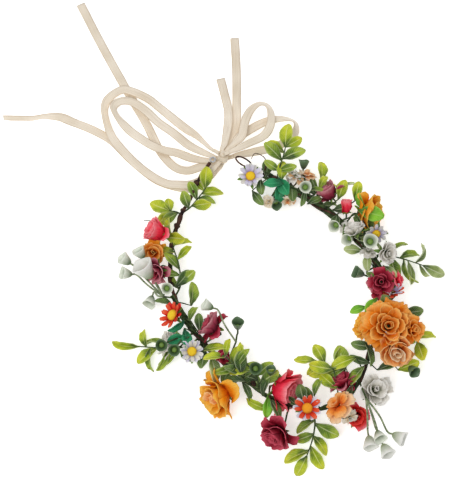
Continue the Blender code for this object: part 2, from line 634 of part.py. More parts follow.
def strand_mesh(crown, route):
    """A flat ribbon along its route, turned and gathered as the route says."""
    curve = bpy.data.curves.new("strand", "CURVE")
    curve.dimensions = "3D"
    curve.twist_mode = "Z_UP"
    curve.extrude = (RIBBON_WIDTH - RIBBON_THICKNESS) / 2
    curve.bevel_depth = RIBBON_THICKNESS / 2
    curve.bevel_resolution = 0
    curve.use_fill_caps = True
    stops = [(x * MM, y * MM, z * MM, turn, width) for x, y, z, turn, width in route]
    line = smooth_line(stops, RIBBON_STEP)
    spline = curve.splines.new("POLY")
    spline.points.add(len(line) - 1)
    for point, (x, y, z, turn, width) in zip(spline.points, line):
        point.co = (crown.tie.x + x, crown.tie.y + y, z, 1)
        point.tilt = math.radians(90 - turn)
        point.radius = width
    return baked(add("strand", curve, "Cutters"))


def main():
    """Builds the crown in the order of its making: vine, ribbon, flowers, sprigs, bells."""
    clear_scene()
    crown = Crown()
    build_vine(crown)
    build_ribbon(crown)
    for plan in FLOWERS:
        crown.plant(plan, flower_mesh, plan.colour)
    for plan in SPRIGS:
        crown.plant(plan, sprig_mesh, "leaf")
    for plan in CLUSTERS:
        crown.plant(plan, cluster_mesh, "berry" if plan.name.startswith("berries") else "bell")


if __name__ == "__main__":
    main()
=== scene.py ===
"""Looks of the flower crown: wired paper flowers, moulded leaves and seed bells on a twisted vine hoop.

Everything is in metres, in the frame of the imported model. The crown lies on the floor at z = 0 with the
satin bow at its open back, towards +Y.
"""

import json
import logging
import math
import random
from collections import Counter
from collections.abc import Callable, Iterator, Sequence
from contextlib import contextmanager
from dataclasses import dataclass, field, replace
from enum import Enum
from itertools import pairwise

import bmesh
import bpy
from mathutils import Matrix, Vector


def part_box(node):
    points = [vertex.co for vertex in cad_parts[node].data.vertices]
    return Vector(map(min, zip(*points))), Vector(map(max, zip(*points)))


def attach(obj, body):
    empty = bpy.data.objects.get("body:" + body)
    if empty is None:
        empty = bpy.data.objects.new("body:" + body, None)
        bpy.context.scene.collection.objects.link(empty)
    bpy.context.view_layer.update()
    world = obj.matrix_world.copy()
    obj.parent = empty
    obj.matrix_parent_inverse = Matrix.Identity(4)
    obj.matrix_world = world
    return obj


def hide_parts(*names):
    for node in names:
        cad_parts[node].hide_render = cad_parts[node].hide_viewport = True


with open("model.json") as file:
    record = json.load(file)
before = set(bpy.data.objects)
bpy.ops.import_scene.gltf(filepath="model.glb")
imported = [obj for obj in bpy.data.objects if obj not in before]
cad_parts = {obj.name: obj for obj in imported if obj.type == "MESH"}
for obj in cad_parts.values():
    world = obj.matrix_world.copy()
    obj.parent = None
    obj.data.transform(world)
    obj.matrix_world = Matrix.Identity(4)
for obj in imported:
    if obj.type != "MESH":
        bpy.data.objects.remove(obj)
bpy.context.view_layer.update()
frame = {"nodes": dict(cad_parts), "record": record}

log = logging.getLogger("flower crown")
MM = 0.001
SEED = 11
FLOOR_GAP = 0.4 * MM  # nothing lies lower than this
Colour = tuple[float, float, float]
Point = tuple[float, float, float]


def tint(red: int, green: int, blue: int) -> Colour:
    """A paint-chart colour, 0 to 255 each, as the linear values that shaders take."""
    linear = [c / 12.92 if c <= 0.04045 else ((c + 0.055) / 1.055) ** 2.4
              for c in (red / 255, green / 255, blue / 255)]
    return (linear[0], linear[1], linear[2])


# --------------------------------------------------------------------------------------------- finishes
class Recipe:
    """One node material, built up step by step."""

    def __init__(self, name: str, roughness: float, **inputs: float) -> None:
        """Starts a material.

        Args:
            name: The material's name.
            roughness: The shader's roughness.
            inputs: More shader inputs, named with _ for a space.
        """
        self.material = bpy.data.materials.new(name)
        self.material.use_nodes = True
        self.tree = self.material.node_tree
        self.shader = self.tree.nodes["Principled BSDF"]
        self.shader.inputs["Roughness"].default_value = roughness
        for key, value in inputs.items():
            self.shader.inputs[key.replace("_", " ")].default_value = value

    def place(self, space: str = "Object", scale: Point = (1, 1, 1)) -> bpy.types.NodeSocket:
        """Coordinates of a space, scaled.

        Args:
            space: Object or UV.
            scale: The pattern's repeats along each axis.

        Returns:
            The vector socket.
        """
        source = self.tree.nodes.new("ShaderNodeTexCoord").outputs[space]
        if scale == (1, 1, 1):
            return source
        mapping = self.tree.nodes.new("ShaderNodeMapping")
        mapping.inputs["Scale"].default_value = scale
        self.tree.links.new(source, mapping.inputs["Vector"])
        return mapping.outputs["Vector"]

    def across(self) -> tuple[bpy.types.NodeSocket, bpy.types.NodeSocket]:
        """The piece's own U and V."""
        split = self.tree.nodes.new("ShaderNodeSeparateXYZ")
        self.tree.links.new(self.place("UV"), split.inputs["Vector"])
        return split.outputs["X"], split.outputs["Y"]

    def attribute(self, name: str) -> bpy.types.NodeSocket:
        """A value painted on the mesh."""
        node = self.tree.nodes.new("ShaderNodeAttribute")
        node.attribute_name = name
        return node.outputs["Fac"]

    def noise(self, vector: bpy.types.NodeSocket, scale: float, detail: float = 3.0) -> bpy.types.NodeSocket:
        """Soft noise over a vector, 0 to 1.

        Args:
            vector: The coordinates.
            scale: Of the noise.
            detail: How many finer layers it has.

        Returns:
            The value socket.
        """
        node = self.tree.nodes.new("ShaderNodeTexNoise")
        node.inputs["Scale"].default_value = scale
        node.inputs["Detail"].default_value = detail
        self.tree.links.new(vector, node.inputs["Vector"])
        return node.outputs["Fac"]

    def wave(self, vector: bpy.types.NodeSocket, scale: float, distortion: float,
             direction: str = "X") -> bpy.types.NodeSocket:
        """Parallel bands over a vector, 0 to 1.

        Args:
            vector: The coordinates.
            scale: Of the bands.
            distortion: How far they waver.
            direction: The axis that they cross.

        Returns:
            The value socket.
        """
        node = self.tree.nodes.new("ShaderNodeTexWave")
        node.bands_direction = direction
        node.inputs["Scale"].default_value = scale
        node.inputs["Distortion"].default_value = distortion
        self.tree.links.new(vector, node.inputs["Vector"])
        return node.outputs["Fac"]

    def math(self, operation: str, a: object, b: object = 0.0) -> bpy.types.NodeSocket:
        """A sum on two sockets or numbers.

        Args:
            operation: Blender's name of the sum.
            a: The first socket or number.
            b: The second.

        Returns:
            The value socket.
        """
        node = self.tree.nodes.new("ShaderNodeMath")
        node.operation = operation
        for socket, value in zip(node.inputs, (a, b)):
            if isinstance(value, (int, float)):
                socket.default_value = value
            else:
                self.tree.links.new(value, socket)
        return node.outputs["Value"]

    def spread(self, value: bpy.types.NodeSocket, width: float) -> bpy.types.NodeSocket:
        """A value about a half, as one about zero over a width."""
        return self.math("MULTIPLY", self.math("SUBTRACT", value, 0.5), width)

    def aside(self, value: bpy.types.NodeSocket) -> bpy.types.NodeSocket:
        """How far a value lies from a half."""
        return self.math("ABSOLUTE", self.math("SUBTRACT", value, 0.5))

    def ramp(self, value: bpy.types.NodeSocket,
             stops: Sequence[tuple[float, Colour]]) -> bpy.types.NodeSocket:
        """Colours laid along a value.

        Args:
            value: From 0 to 1.
            stops: (place, colour) in order.

        Returns:
            The colour socket.
        """
        node = self.tree.nodes.new("ShaderNodeValToRGB")
        elements = node.color_ramp.elements
        while len(elements) < len(stops):
            elements.new(0.5)
        for element, (position, colour) in zip(elements, stops):
            element.position = position
            element.color = (*colour, 1)
        self.tree.links.new(value, node.inputs["Fac"])
        return node.outputs["Color"]

    def mix(self, factor: object, a: object, b: object, blend: str = "MIX") -> bpy.types.NodeSocket:
        """Two colours mixed by a factor; each may be a socket or a fixed value.

        Args:
            factor: How far to go from the first to the second.
            a: The first colour.
            b: The second.
            blend: Blender's name of the way to mix.

        Returns:
            The colour socket.
        """
        node = self.tree.nodes.new("ShaderNodeMix")
        node.data_type = "RGBA"
        node.blend_type = blend
        for index, value in ((0, factor), (6, a), (7, b)):
            socket = node.inputs[index]
            if isinstance(value, bpy.types.NodeSocket):
                self.tree.links.new(value, socket)
            else:
                socket.default_value = value if index == 0 else (*value, 1)
        return node.outputs[2]

    def paint(self, colour: bpy.types.NodeSocket) -> None:
        """Gives the shader its colour."""
        self.tree.links.new(colour, self.shader.inputs["Base Color"])

    def relief(self, height: bpy.types.NodeSocket, depth: float, strength: float = 1.0) -> None:
        """Raises a height pattern by a depth in metres.

        Args:
            height: The pattern.
            depth: Its height, in metres.
            strength: The share of it that shows.
        """
        bump = self.tree.nodes.new("ShaderNodeBump")
        bump.inputs["Distance"].default_value = depth
        bump.inputs["Strength"].default_value = strength
        self.tree.links.new(height, bump.inputs["Height"])
        self.tree.links.new(bump.outputs["Normal"], self.shader.inputs["Normal"])


class Finish:
    """A named material that is made when it is first asked for."""

    name: str

    def made(self) -> bpy.types.Material:
        """The material."""
        return bpy.data.materials.get(self.name) or self.recipe().material

    def recipe(self) -> Recipe:
        """Mixes the material."""
        raise NotImplementedError


@dataclass(frozen=True)
class Paper(Finish):
    """Crinkled petal paper, dyed from its heart to its edge."""

    name: str
    heart: Colour
    body: Colour
    edge: Colour

    def recipe(self) -> Recipe:
        """Dye runs along the petal, darkened in fine streaks by painted crinkle shade, with creases that fan
        out from its foot.
        """
        recipe = Recipe(self.name, 0.82, Specular_IOR_Level=0.12)
        _, along = recipe.across()
        blotch = recipe.noise(recipe.place(), 260)
        run = recipe.math("ADD", along, recipe.spread(blotch, 0.45))
        dye = recipe.ramp(run, [(0.12, self.heart), (0.55, self.body), (0.97, self.edge)])
        # Painted crinkle shade: fine streaks along the petal darken the dye by up to a quarter.
        crinkle_shade_noise = recipe.noise(recipe.place("UV", (26, 3, 1)), 1.0, 5)
        shade = recipe.ramp(crinkle_shade_noise, [(0.30, (0.72, 0.70, 0.70)), (0.62, (1, 1, 1))])
        recipe.paint(recipe.mix(0.65, dye, shade, "MULTIPLY"))
        crease = recipe.noise(recipe.place("UV", (9, 2.2, 1)), 1.0, 4)
        recipe.relief(crease, 0.5 * MM, 0.8)
        return recipe


@dataclass(frozen=True)
class Foliage(Finish):
    """Moulded leaf plastic with a pale mid-vein, side veins and a pale rim."""

    name: str
    foot: Colour
    body: Colour
    tip: Colour
    vein: Colour

    def recipe(self) -> Recipe:
        """Laid out on the leaf's own U across and V along."""
        recipe = Recipe(self.name, 0.46, Specular_IOR_Level=0.3)
        u, v = recipe.across()
        side = recipe.aside(u)
        blotch = recipe.spread(recipe.noise(recipe.place(), 170, 5), 1.3)
        colour = recipe.ramp(recipe.math("ADD", v, blotch),
                             [(0.05, self.foot), (0.45, self.body), (0.92, self.tip)])
        rank = recipe.math("SUBTRACT", recipe.math("MULTIPLY", v, 9.0), recipe.math("MULTIPLY", side, 5.0))
        ridge = recipe.math("PINGPONG", rank, 0.5)
        branch = recipe.ramp(ridge, [(0.0, (0.30, 0.30, 0.30)), (0.16, (0, 0, 0))])
        middle = recipe.ramp(side, [(0.015, (0.75, 0.75, 0.75)), (0.06, (0, 0, 0))])
        rim = recipe.ramp(side, [(0.40, (0, 0, 0)), (0.50, (0.55, 0.55, 0.55))])
        veins = recipe.mix(1.0, recipe.mix(1.0, branch, middle, "LIGHTEN"), rim, "LIGHTEN")
        recipe.paint(recipe.mix(veins, colour, self.vein))
        recipe.relief(veins, 0.25 * MM, 0.7)
        return recipe


@dataclass(frozen=True)
class Moulded(Finish):
    """Plastic that changes colour from a piece's foot to its rim."""

    name: str
    foot: Colour
    rim: Colour
    roughness: float = 0.45
    grain: float = 420.0

    def recipe(self) -> Recipe:
        """Laid along the rise that is painted on the mesh."""
        recipe = Recipe(self.name, self.roughness)
        speck = recipe.noise(recipe.place(), self.grain)
        rise = recipe.math("ADD", recipe.attribute("rise"), recipe.spread(speck, 0.35))
        recipe.paint(recipe.ramp(rise, [(0.15, self.foot), (0.80, self.rim)]))
        recipe.relief(speck, 0.15 * MM, 0.5)
        return recipe


@dataclass(frozen=True)
class Bark(Finish):
    """Paper tape or bark wound round wire: two tones, ridged and matt."""

    name: str
    dark: Colour
    light: Colour
    ridge: float = 0.4 * MM

    def recipe(self) -> Recipe:
        """Coarse patches and fine ridges."""
        recipe = Recipe(self.name, 0.82, Specular_IOR_Level=0.3)
        patch = recipe.noise(recipe.place(), 330, 5)
        recipe.paint(recipe.ramp(patch, [(0.35, self.dark), (0.68, self.light)]))
        recipe.relief(recipe.noise(recipe.place(), 900, 4), self.ridge, 0.9)
        return recipe


@dataclass(frozen=True)
class Satin(Finish):
    """Woven satin ribbon: warp threads along its length, a soft sheen, painted highlight patches, painted
    fold shade and painted shade along both edges.
    """

    name: str
    body: Colour
    # The brighter colour of the painted highlight patches.
    painted_highlight: Colour

    def recipe(self) -> Recipe:
        """Threads on the ribbon's own U along and V across."""
        recipe = Recipe(self.name, 0.38, Sheen_Weight=0.35, Sheen_Roughness=0.35, Specular_IOR_Level=0.4,
                        Anisotropic=0.5)
        recipe.shader.inputs["Sheen Tint"].default_value = (1.0, 0.94, 0.86, 1)
        _, across = recipe.across()
        threads = recipe.wave(recipe.place("UV", (2, 24, 1)), 1.0, 0.4, "Y")
        weft = recipe.noise(recipe.place("UV", (240, 6, 1)), 1.0, 2)
        # Painted highlight: large soft patches brighten the ribbon from its body colour to the highlight
        # colour.
        highlight_patches = recipe.noise(recipe.place(), 42, 2)
        tone = recipe.ramp(highlight_patches, [(0.30, self.body), (0.75, self.painted_highlight)])
        # Painted edge shade: both edges of the ribbon are darkened to a warm grey.
        rim = recipe.aside(across)
        edge = recipe.ramp(rim, [(0.42, (1, 1, 1)), (0.47, (0.84, 0.77, 0.68))])
        # Painted fold shade: long soft streaks along the ribbon darken it where it would fold, added to its
        # real weave of threads.
        fold_shade_streaks = recipe.noise(recipe.place("UV", (5, 15, 1)), 1.0, 2)
        woven = recipe.math("MULTIPLY", recipe.math("MULTIPLY", threads, weft), 0.4)
        weave_and_fold_shade = recipe.ramp(recipe.math("ADD", woven, fold_shade_streaks),
                            [(0.35, (0.80, 0.76, 0.72)), (0.72, (1, 1, 1))])
        recipe.paint(recipe.mix(1.0, recipe.mix(1.0, tone, edge, "MULTIPLY"), weave_and_fold_shade, "MULTIPLY"))
        recipe.relief(threads, 0.05 * MM, 0.4)
        return recipe


@dataclass(frozen=True)
class Metal(Finish):
    """Bright wire with a faintly worn surface."""

    name: str
    colour: Colour

    def recipe(self) -> Recipe:
        """Fine wear over bright metal."""
        recipe = Recipe(self.name, 0.28, Metallic=1.0)
        wear = recipe.noise(recipe.place(), 1500, 3)
        worn = tuple(0.75 * c for c in self.colour)
        recipe.paint(recipe.ramp(wear, [(0.35, worn), (0.65, self.colour)]))
        recipe.relief(wear, 0.03 * MM, 0.4)
        return recipe


BIG_ORANGE = Paper("paper_big_orange", tint(206, 70, 2), tint(244, 140, 24), tint(253, 190, 104))
GOLD = Paper("paper_gold", tint(218, 104, 8), tint(248, 160, 24), tint(252, 196, 84))
APRICOT = Paper("paper_apricot", tint(222, 88, 18), tint(248, 154, 66), tint(253, 200, 138))
PEACH = Paper("paper_peach", tint(236, 146, 84), tint(249, 196, 142), tint(252, 224, 186))
WHITE = Paper("paper_white", tint(176, 178, 154), tint(228, 224, 214), tint(248, 246, 240))
LAVENDER = Paper("paper_lavender", tint(176, 160, 205), tint(222, 218, 240), tint(246, 245, 252))
CREAM = Paper("paper_cream", tint(232, 206, 160), tint(246, 232, 208), tint(250, 243, 230))
RED = Paper("paper_red", tint(150, 6, 10), tint(226, 30, 30), tint(244, 78, 70))
CORAL = Paper("paper_coral", tint(190, 34, 20), tint(232, 76, 44), tint(244, 122, 88))
PINK = Paper("paper_pink", tint(198, 10, 42), tint(248, 62, 86), tint(255, 146, 154))
BURGUNDY = Paper("paper_burgundy", tint(66, 2, 14), tint(148, 20, 44), tint(208, 84, 104))
MAUVE = Paper("paper_mauve", tint(100, 20, 40), tint(172, 66, 88), tint(222, 150, 160))
JADE = Paper("paper_jade", tint(4, 70, 44), tint(18, 132, 86), tint(110, 186, 142))
BRIGHT_LEAF = Foliage("leaf_bright", tint(56, 88, 8), tint(148, 170, 12), tint(208, 214, 48),
                      tint(222, 226, 140))
FRESH_LEAF = Foliage("leaf_fresh", tint(38, 66, 12), tint(98, 130, 24), tint(168, 188, 54),
                     tint(206, 216, 156))
PALE_LEAF = Foliage("leaf_pale", tint(66, 90, 44), tint(134, 154, 82), tint(190, 202, 138),
                    tint(226, 232, 198))
DARK_LEAF = Foliage("leaf_dark", tint(22, 44, 14), tint(54, 84, 30), tint(114, 142, 66),
                    tint(176, 190, 150))
SEPAL = Foliage("sepal_green", tint(26, 52, 20), tint(62, 96, 34), tint(116, 146, 58), tint(132, 160, 84))
LIME = Foliage("sepal_lime", tint(58, 108, 20), tint(98, 166, 30), tint(140, 200, 50), tint(166, 214, 96))
EMERALD = Foliage("sepal_emerald", tint(4, 66, 42), tint(12, 116, 70), tint(44, 152, 98),
                  tint(80, 176, 126))
BELL = Moulded("bell_plastic", tint(78, 108, 58), tint(228, 232, 218))
BLUE_BELL = Moulded("bell_frosted", tint(146, 160, 124), tint(232, 232, 226))
BERRY = Moulded("berry_plastic", tint(34, 56, 34), tint(92, 118, 84), 0.35)
BUD = Moulded("bud_green", tint(46, 84, 34), tint(118, 152, 62))
FLOCK = Moulded("flock_yellow", tint(198, 128, 12), tint(240, 200, 36), 0.9, 1500)
FLOCK_ORANGE = Moulded("flock_orange", tint(170, 76, 10), tint(240, 160, 30), 0.9, 1500)
BROWN_BARK = Bark("bark_brown", tint(28, 15, 12), tint(88, 56, 42))
RED_BARK = Bark("bark_red_brown", tint(44, 22, 17), tint(108, 66, 50))
GREEN_TAPE = Bark("tape_green", tint(20, 34, 16), tint(72, 92, 48), 0.25 * MM)
PALE_WIRE = Bark("wire_pale_green", tint(92, 108, 74), tint(168, 180, 144), 0.15 * MM)
STEM_WIRE = Bark("wire_green", tint(34, 50, 28), tint(88, 108, 62), 0.2 * MM)
# Champagne satin; its second colour is that of the painted highlight patches.
SATIN = Satin("satin_champagne", tint(232, 218, 196), tint(252, 242, 226))
EYELET = Metal("eyelet_wire", tint(196, 198, 204))


# ------------------------------------------------------------------------------------------------ bench
class Bench:
    """The few hand moves that every piece is made with."""

    @staticmethod
    def only(obj: bpy.types.Object) -> None:
        """Selects one object and makes it active."""
        bpy.ops.object.select_all(action="DESELECT")
        obj.select_set(True)
        bpy.context.view_layer.objects.active = obj

    @staticmethod
    def added(operator: Callable[..., set[str]], **settings: object) -> bpy.types.Object:
        """Adds a primitive and returns it, alone selected."""
        bpy.ops.object.select_all(action="DESELECT")
        operator(**settings)
        return bpy.context.view_layer.objects.active

    @staticmethod
    @contextmanager
    def editing(obj: bpy.types.Object) -> Iterator[None]:
        """Edit mode on one object."""
        Bench.only(obj)
        bpy.ops.object.mode_set(mode="EDIT")
        yield
        bpy.ops.object.mode_set(mode="OBJECT")

    @staticmethod
    def modify(obj: bpy.types.Object, kind: str, **settings: object) -> None:
        """Adds a modifier and applies it.

        Args:
            obj: The piece.
            kind: Blender's name of the modifier type.
            settings: The modifier's settings.
        """
        Bench.only(obj)
        modifier = obj.modifiers.new(kind.title(), kind)
        for key, value in settings.items():
            setattr(modifier, key, value)
        bpy.ops.object.modifier_apply(modifier=modifier.name)

    @staticmethod
    def deform(obj: bpy.types.Object, method: str, axis: str, degrees: float, **settings: object) -> None:
        """Bends or twists a piece about an axis."""
        Bench.modify(obj, "SIMPLE_DEFORM", deform_method=method, deform_axis=axis,
                     angle=math.radians(degrees), **settings)

    @staticmethod
    def select(obj: bpy.types.Object, wanted: Callable[[Vector], bool]) -> None:
        """In edit mode, selects the vertices at wanted places.

        Args:
            obj: The piece.
            wanted: Whether a place is wanted.
        """
        work = bmesh.from_edit_mesh(obj.data)
        for vertex in work.verts:
            vertex.select = wanted(vertex.co)
        work.select_flush(True)
        work.select_flush(False)
        bmesh.update_edit_mesh(obj.data)

    @staticmethod
    def settle(obj: bpy.types.Object) -> None:
        """Puts the object's place into its mesh."""
        Bench.only(obj)
        bpy.ops.object.transform_apply(location=True, rotation=True, scale=True)

    @staticmethod
    def copy(source: bpy.types.Object, matrix: Matrix, finish: Finish) -> bpy.types.Object:
        """A copy of a model with its own mesh, put in place and dressed.

        Args:
            source: The model.
            matrix: The copy's place.
            finish: Its finish.

        Returns:
            The copy.
        """
        made = source.copy()
        made.data = source.data.copy()
        made.hide_render = False
        bpy.context.scene.collection.objects.link(made)
        made.matrix_world = matrix
        Bench.dress(made, finish)
        return made

    @staticmethod
    def dress(obj: bpy.types.Object, finish: Finish) -> None:
        """Gives a piece one finish all over."""
        obj.data.materials.clear()
        obj.data.materials.append(finish.made())

    @staticmethod
    def join(pieces: Sequence[bpy.types.Object], name: str) -> bpy.types.Object:
        """Joins pieces into one object with its place in its mesh.

        Args:
            pieces: The pieces.
            name: The whole's name.

        Returns:
            The whole.
        """
        bpy.ops.object.select_all(action="DESELECT")
        for piece in pieces:
            piece.select_set(True)
        bpy.context.view_layer.objects.active = pieces[0]
        bpy.ops.object.join()
        made = bpy.context.view_layer.objects.active
        Bench.settle(made)
        made.name = name
        made.data.name = name
        return made

    @staticmethod
    def paint_rise(obj: bpy.types.Object) -> None:
        """Paints the share of the object's height on each vertex.

        Args:
            obj: The piece.
        """
        heights = [vertex.co.z for vertex in obj.data.vertices]
        low, high = min(heights), max(heights)
        layer = obj.data.attributes.new("rise", "FLOAT", "POINT")
        layer.data.foreach_set("value", [(height - low) / (high - low) for height in heights])

    @staticmethod
    def land(obj: bpy.types.Object) -> None:
        """Presses whatever would go below the floor flat upon it."""
        with Bench.editing(obj):
            Bench.select(obj, lambda co: co.z < FLOOR_GAP)
            bpy.ops.transform.resize(value=(1, 1, 0.04), center_override=(0, 0, FLOOR_GAP))

    @staticmethod
    def crumple(obj: bpy.types.Object, depth: float, grain: float, place: float) -> None:
        """Presses soft dents into a piece.

        Args:
            obj: The piece.
            depth: Of the dents.
            grain: Their size.
            place: Where in the noise the piece lies, so that no two are alike.
        """
        texture = bpy.data.textures.new("dents", "CLOUDS")
        texture.noise_scale = grain
        texture.noise_depth = 2
        obj.location = (place, 0.37 * place, 0.71 * place)
        Bench.modify(obj, "DISPLACE", texture=texture, texture_coords="GLOBAL", strength=depth, mid_level=0.5)
        obj.location = (0, 0, 0)

    @staticmethod
    def wire(points: Sequence[Sequence[float]], widths: float | Sequence[float], finish: Finish,
             sides: int = 2) -> bpy.types.Object:
        """A round wire through points.

        Args:
            points: Where it runs.
            widths: Its diameter, or its diameter at each point.
            finish: Its finish.
            sides: The curve's bevel resolution.

        Returns:
            The wire as a mesh object.
        """
        if isinstance(widths, float):
            widths = [widths] * len(points)
        made = Bench.added(bpy.ops.curve.primitive_nurbs_path_add)
        curve = made.data
        curve.splines.clear()
        spline = curve.splines.new("POLY")
        spline.points.add(len(points) - 1)
        for point, place, width in zip(spline.points, points, widths):
            point.co = (*place, 1)
            point.radius = width / 2
        curve.bevel_depth = 1.0
        curve.bevel_resolution = sides
        curve.use_fill_caps = True
        curve.materials.append(finish.made())
        Bench.only(made)
        bpy.ops.object.convert(target="MESH")
        made = bpy.context.view_layer.objects.active
        with Bench.editing(made):
            bpy.ops.mesh.select_all(action="SELECT")
            bpy.ops.mesh.remove_doubles(threshold=1e-6)
        bpy.ops.object.shade_smooth()
        return made


def smooth_line(points: Sequence[Sequence[float]], step: float) -> list[tuple[float, ...]]:
    """Points a step apart on the Catmull-Rom curve through given ones.

    Args:
        points: Each with x, y, z and any further values that follow along.
        step: The distance between points, in metres.

    Returns:
        The points, with as many values each as the given ones.
    """
    ends = [[2 * a - b for a, b in zip(points[0], points[1])],
            [2 * a - b for a, b in zip(points[-1], points[-2])]]
    knots = [ends[0], *points, ends[1]]
    fine = []
    for a, b, c, d in zip(knots, knots[1:], knots[2:], knots[3:]):
        for i in range(24):
            t = i / 24
            fine.append(tuple(0.5 * (2 * q + (r - p) * t + (2 * p - 5 * q + 4 * r - s) * t**2
                                     + (3 * q - p - 3 * r + s) * t**3) for p, q, r, s in zip(a, b, c, d)))
    fine.append(tuple(points[-1]))
    run = [0.0]
    for a, b in pairwise(fine):
        run.append(run[-1] + math.dist(a[:3], b[:3]))
    count = max(2, round(run[-1] / step) + 1)
    line, place = [], 0
    for i in range(count):
        goal = run[-1] * i / (count - 1)
        while place < len(fine) - 2 and run[place + 1] < goal:
            place += 1
        share = (goal - run[place]) / max(run[place + 1] - run[place], 1e-9)
        line.append(tuple(p + (q - p) * share for p, q in zip(fine[place], fine[place + 1])))
    return line


def towards(lean: float, faces: float) -> Vector:
    """The direction of a lean from straight up, towards an angle round from +X, both in degrees."""
    a, b = math.radians(lean), math.radians(faces)
    return Vector((math.sin(a) * math.cos(b), math.sin(a) * math.sin(b), math.cos(a)))


def aimed(foot: Vector, direction: Vector, spin: float = 0.0) -> Matrix:
    """A matrix that stands a piece on a foot, pointing its +Z in a direction, spun about itself."""
    turn = direction.to_track_quat("Z", "Y").to_matrix().to_4x4()
    return Matrix.Translation(foot) @ turn @ Matrix.Rotation(math.radians(spin), 4, "Z")


def body_of(node: str) -> str:
    """The body that a CAD node belongs to."""
    bodies = frame["record"]["behaviour"]["bodies"]
    return next(body for body, nodes in bodies.items() if node in nodes)


def hand_over(piece: bpy.types.Object, node: str) -> None:
    """Makes a piece stand for a CAD node and move with it.

    Args:
        piece: The finished piece.
        node: The CAD node that it replaces.
    """
    Bench.land(piece)
    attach(piece, body_of(node))
    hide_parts(node)
    log.info("%s stands for %s, %d faces", piece.name, node, len(piece.data.polygons))


def tie_on(piece: bpy.types.Object) -> None:
    """Makes a piece that stands for no CAD node move with the hoop.

    Args:
        piece: The finished piece.
    """
    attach(piece, "hoop")
    log.info("%s, %d faces", piece.name, len(piece.data.polygons))


# --------------------------------------------------------------------------------------------- patterns
@dataclass(frozen=True)
class PetalCut:
    """How a petal is cut and curled, for a length of 1."""

    name: str
    width: float
    outline: tuple[float, ...]   # share of the width at rows from foot to edge
    wrap: float                  # degrees round the flower's axis
    curl: float                  # degrees that the outer half rolls back
    crinkle: float
    thickness: float = 0.022


class Cut(Enum):
    """The cuts of petal, sepal and leaf."""

    HEART = PetalCut("heart", 1.1, (0.45, 0.7, 0.9, 1.0, 1.0, 1.0, 0.95, 0.80), 250, 0, 0.05)
    INNER = PetalCut("inner", 1.15, (0.30, 0.62, 0.85, 0.98, 1.0, 0.98, 0.88, 0.62), 160, 12, 0.10)
    MIDDLE = PetalCut("middle", 1.15, (0.24, 0.55, 0.82, 0.97, 1.0, 0.97, 0.86, 0.58), 105, 42, 0.14)
    OUTER = PetalCut("outer", 1.12, (0.22, 0.50, 0.78, 0.96, 1.0, 0.97, 0.84, 0.55), 62, 58, 0.18)
    WRAP = PetalCut("wrap", 1.35, (0.30, 0.60, 0.84, 0.97, 1.0, 1.0, 0.95, 0.78), 130, 18, 0.045)
    FLAT = PetalCut("flat", 0.95, (0.24, 0.48, 0.75, 0.94, 1.0, 0.98, 0.84, 0.50), 40, 26, 0.16)
    STRAP = PetalCut("strap", 0.40, (0.45, 0.70, 0.90, 1.0, 1.0, 0.98, 0.84, 0.50), 50, -14, 0.05)
    SEPAL = PetalCut("sepal", 0.42, (0.70, 0.95, 1.0, 0.94, 0.80, 0.60, 0.36, 0.08), 50, 34, 0.06, 0.05)


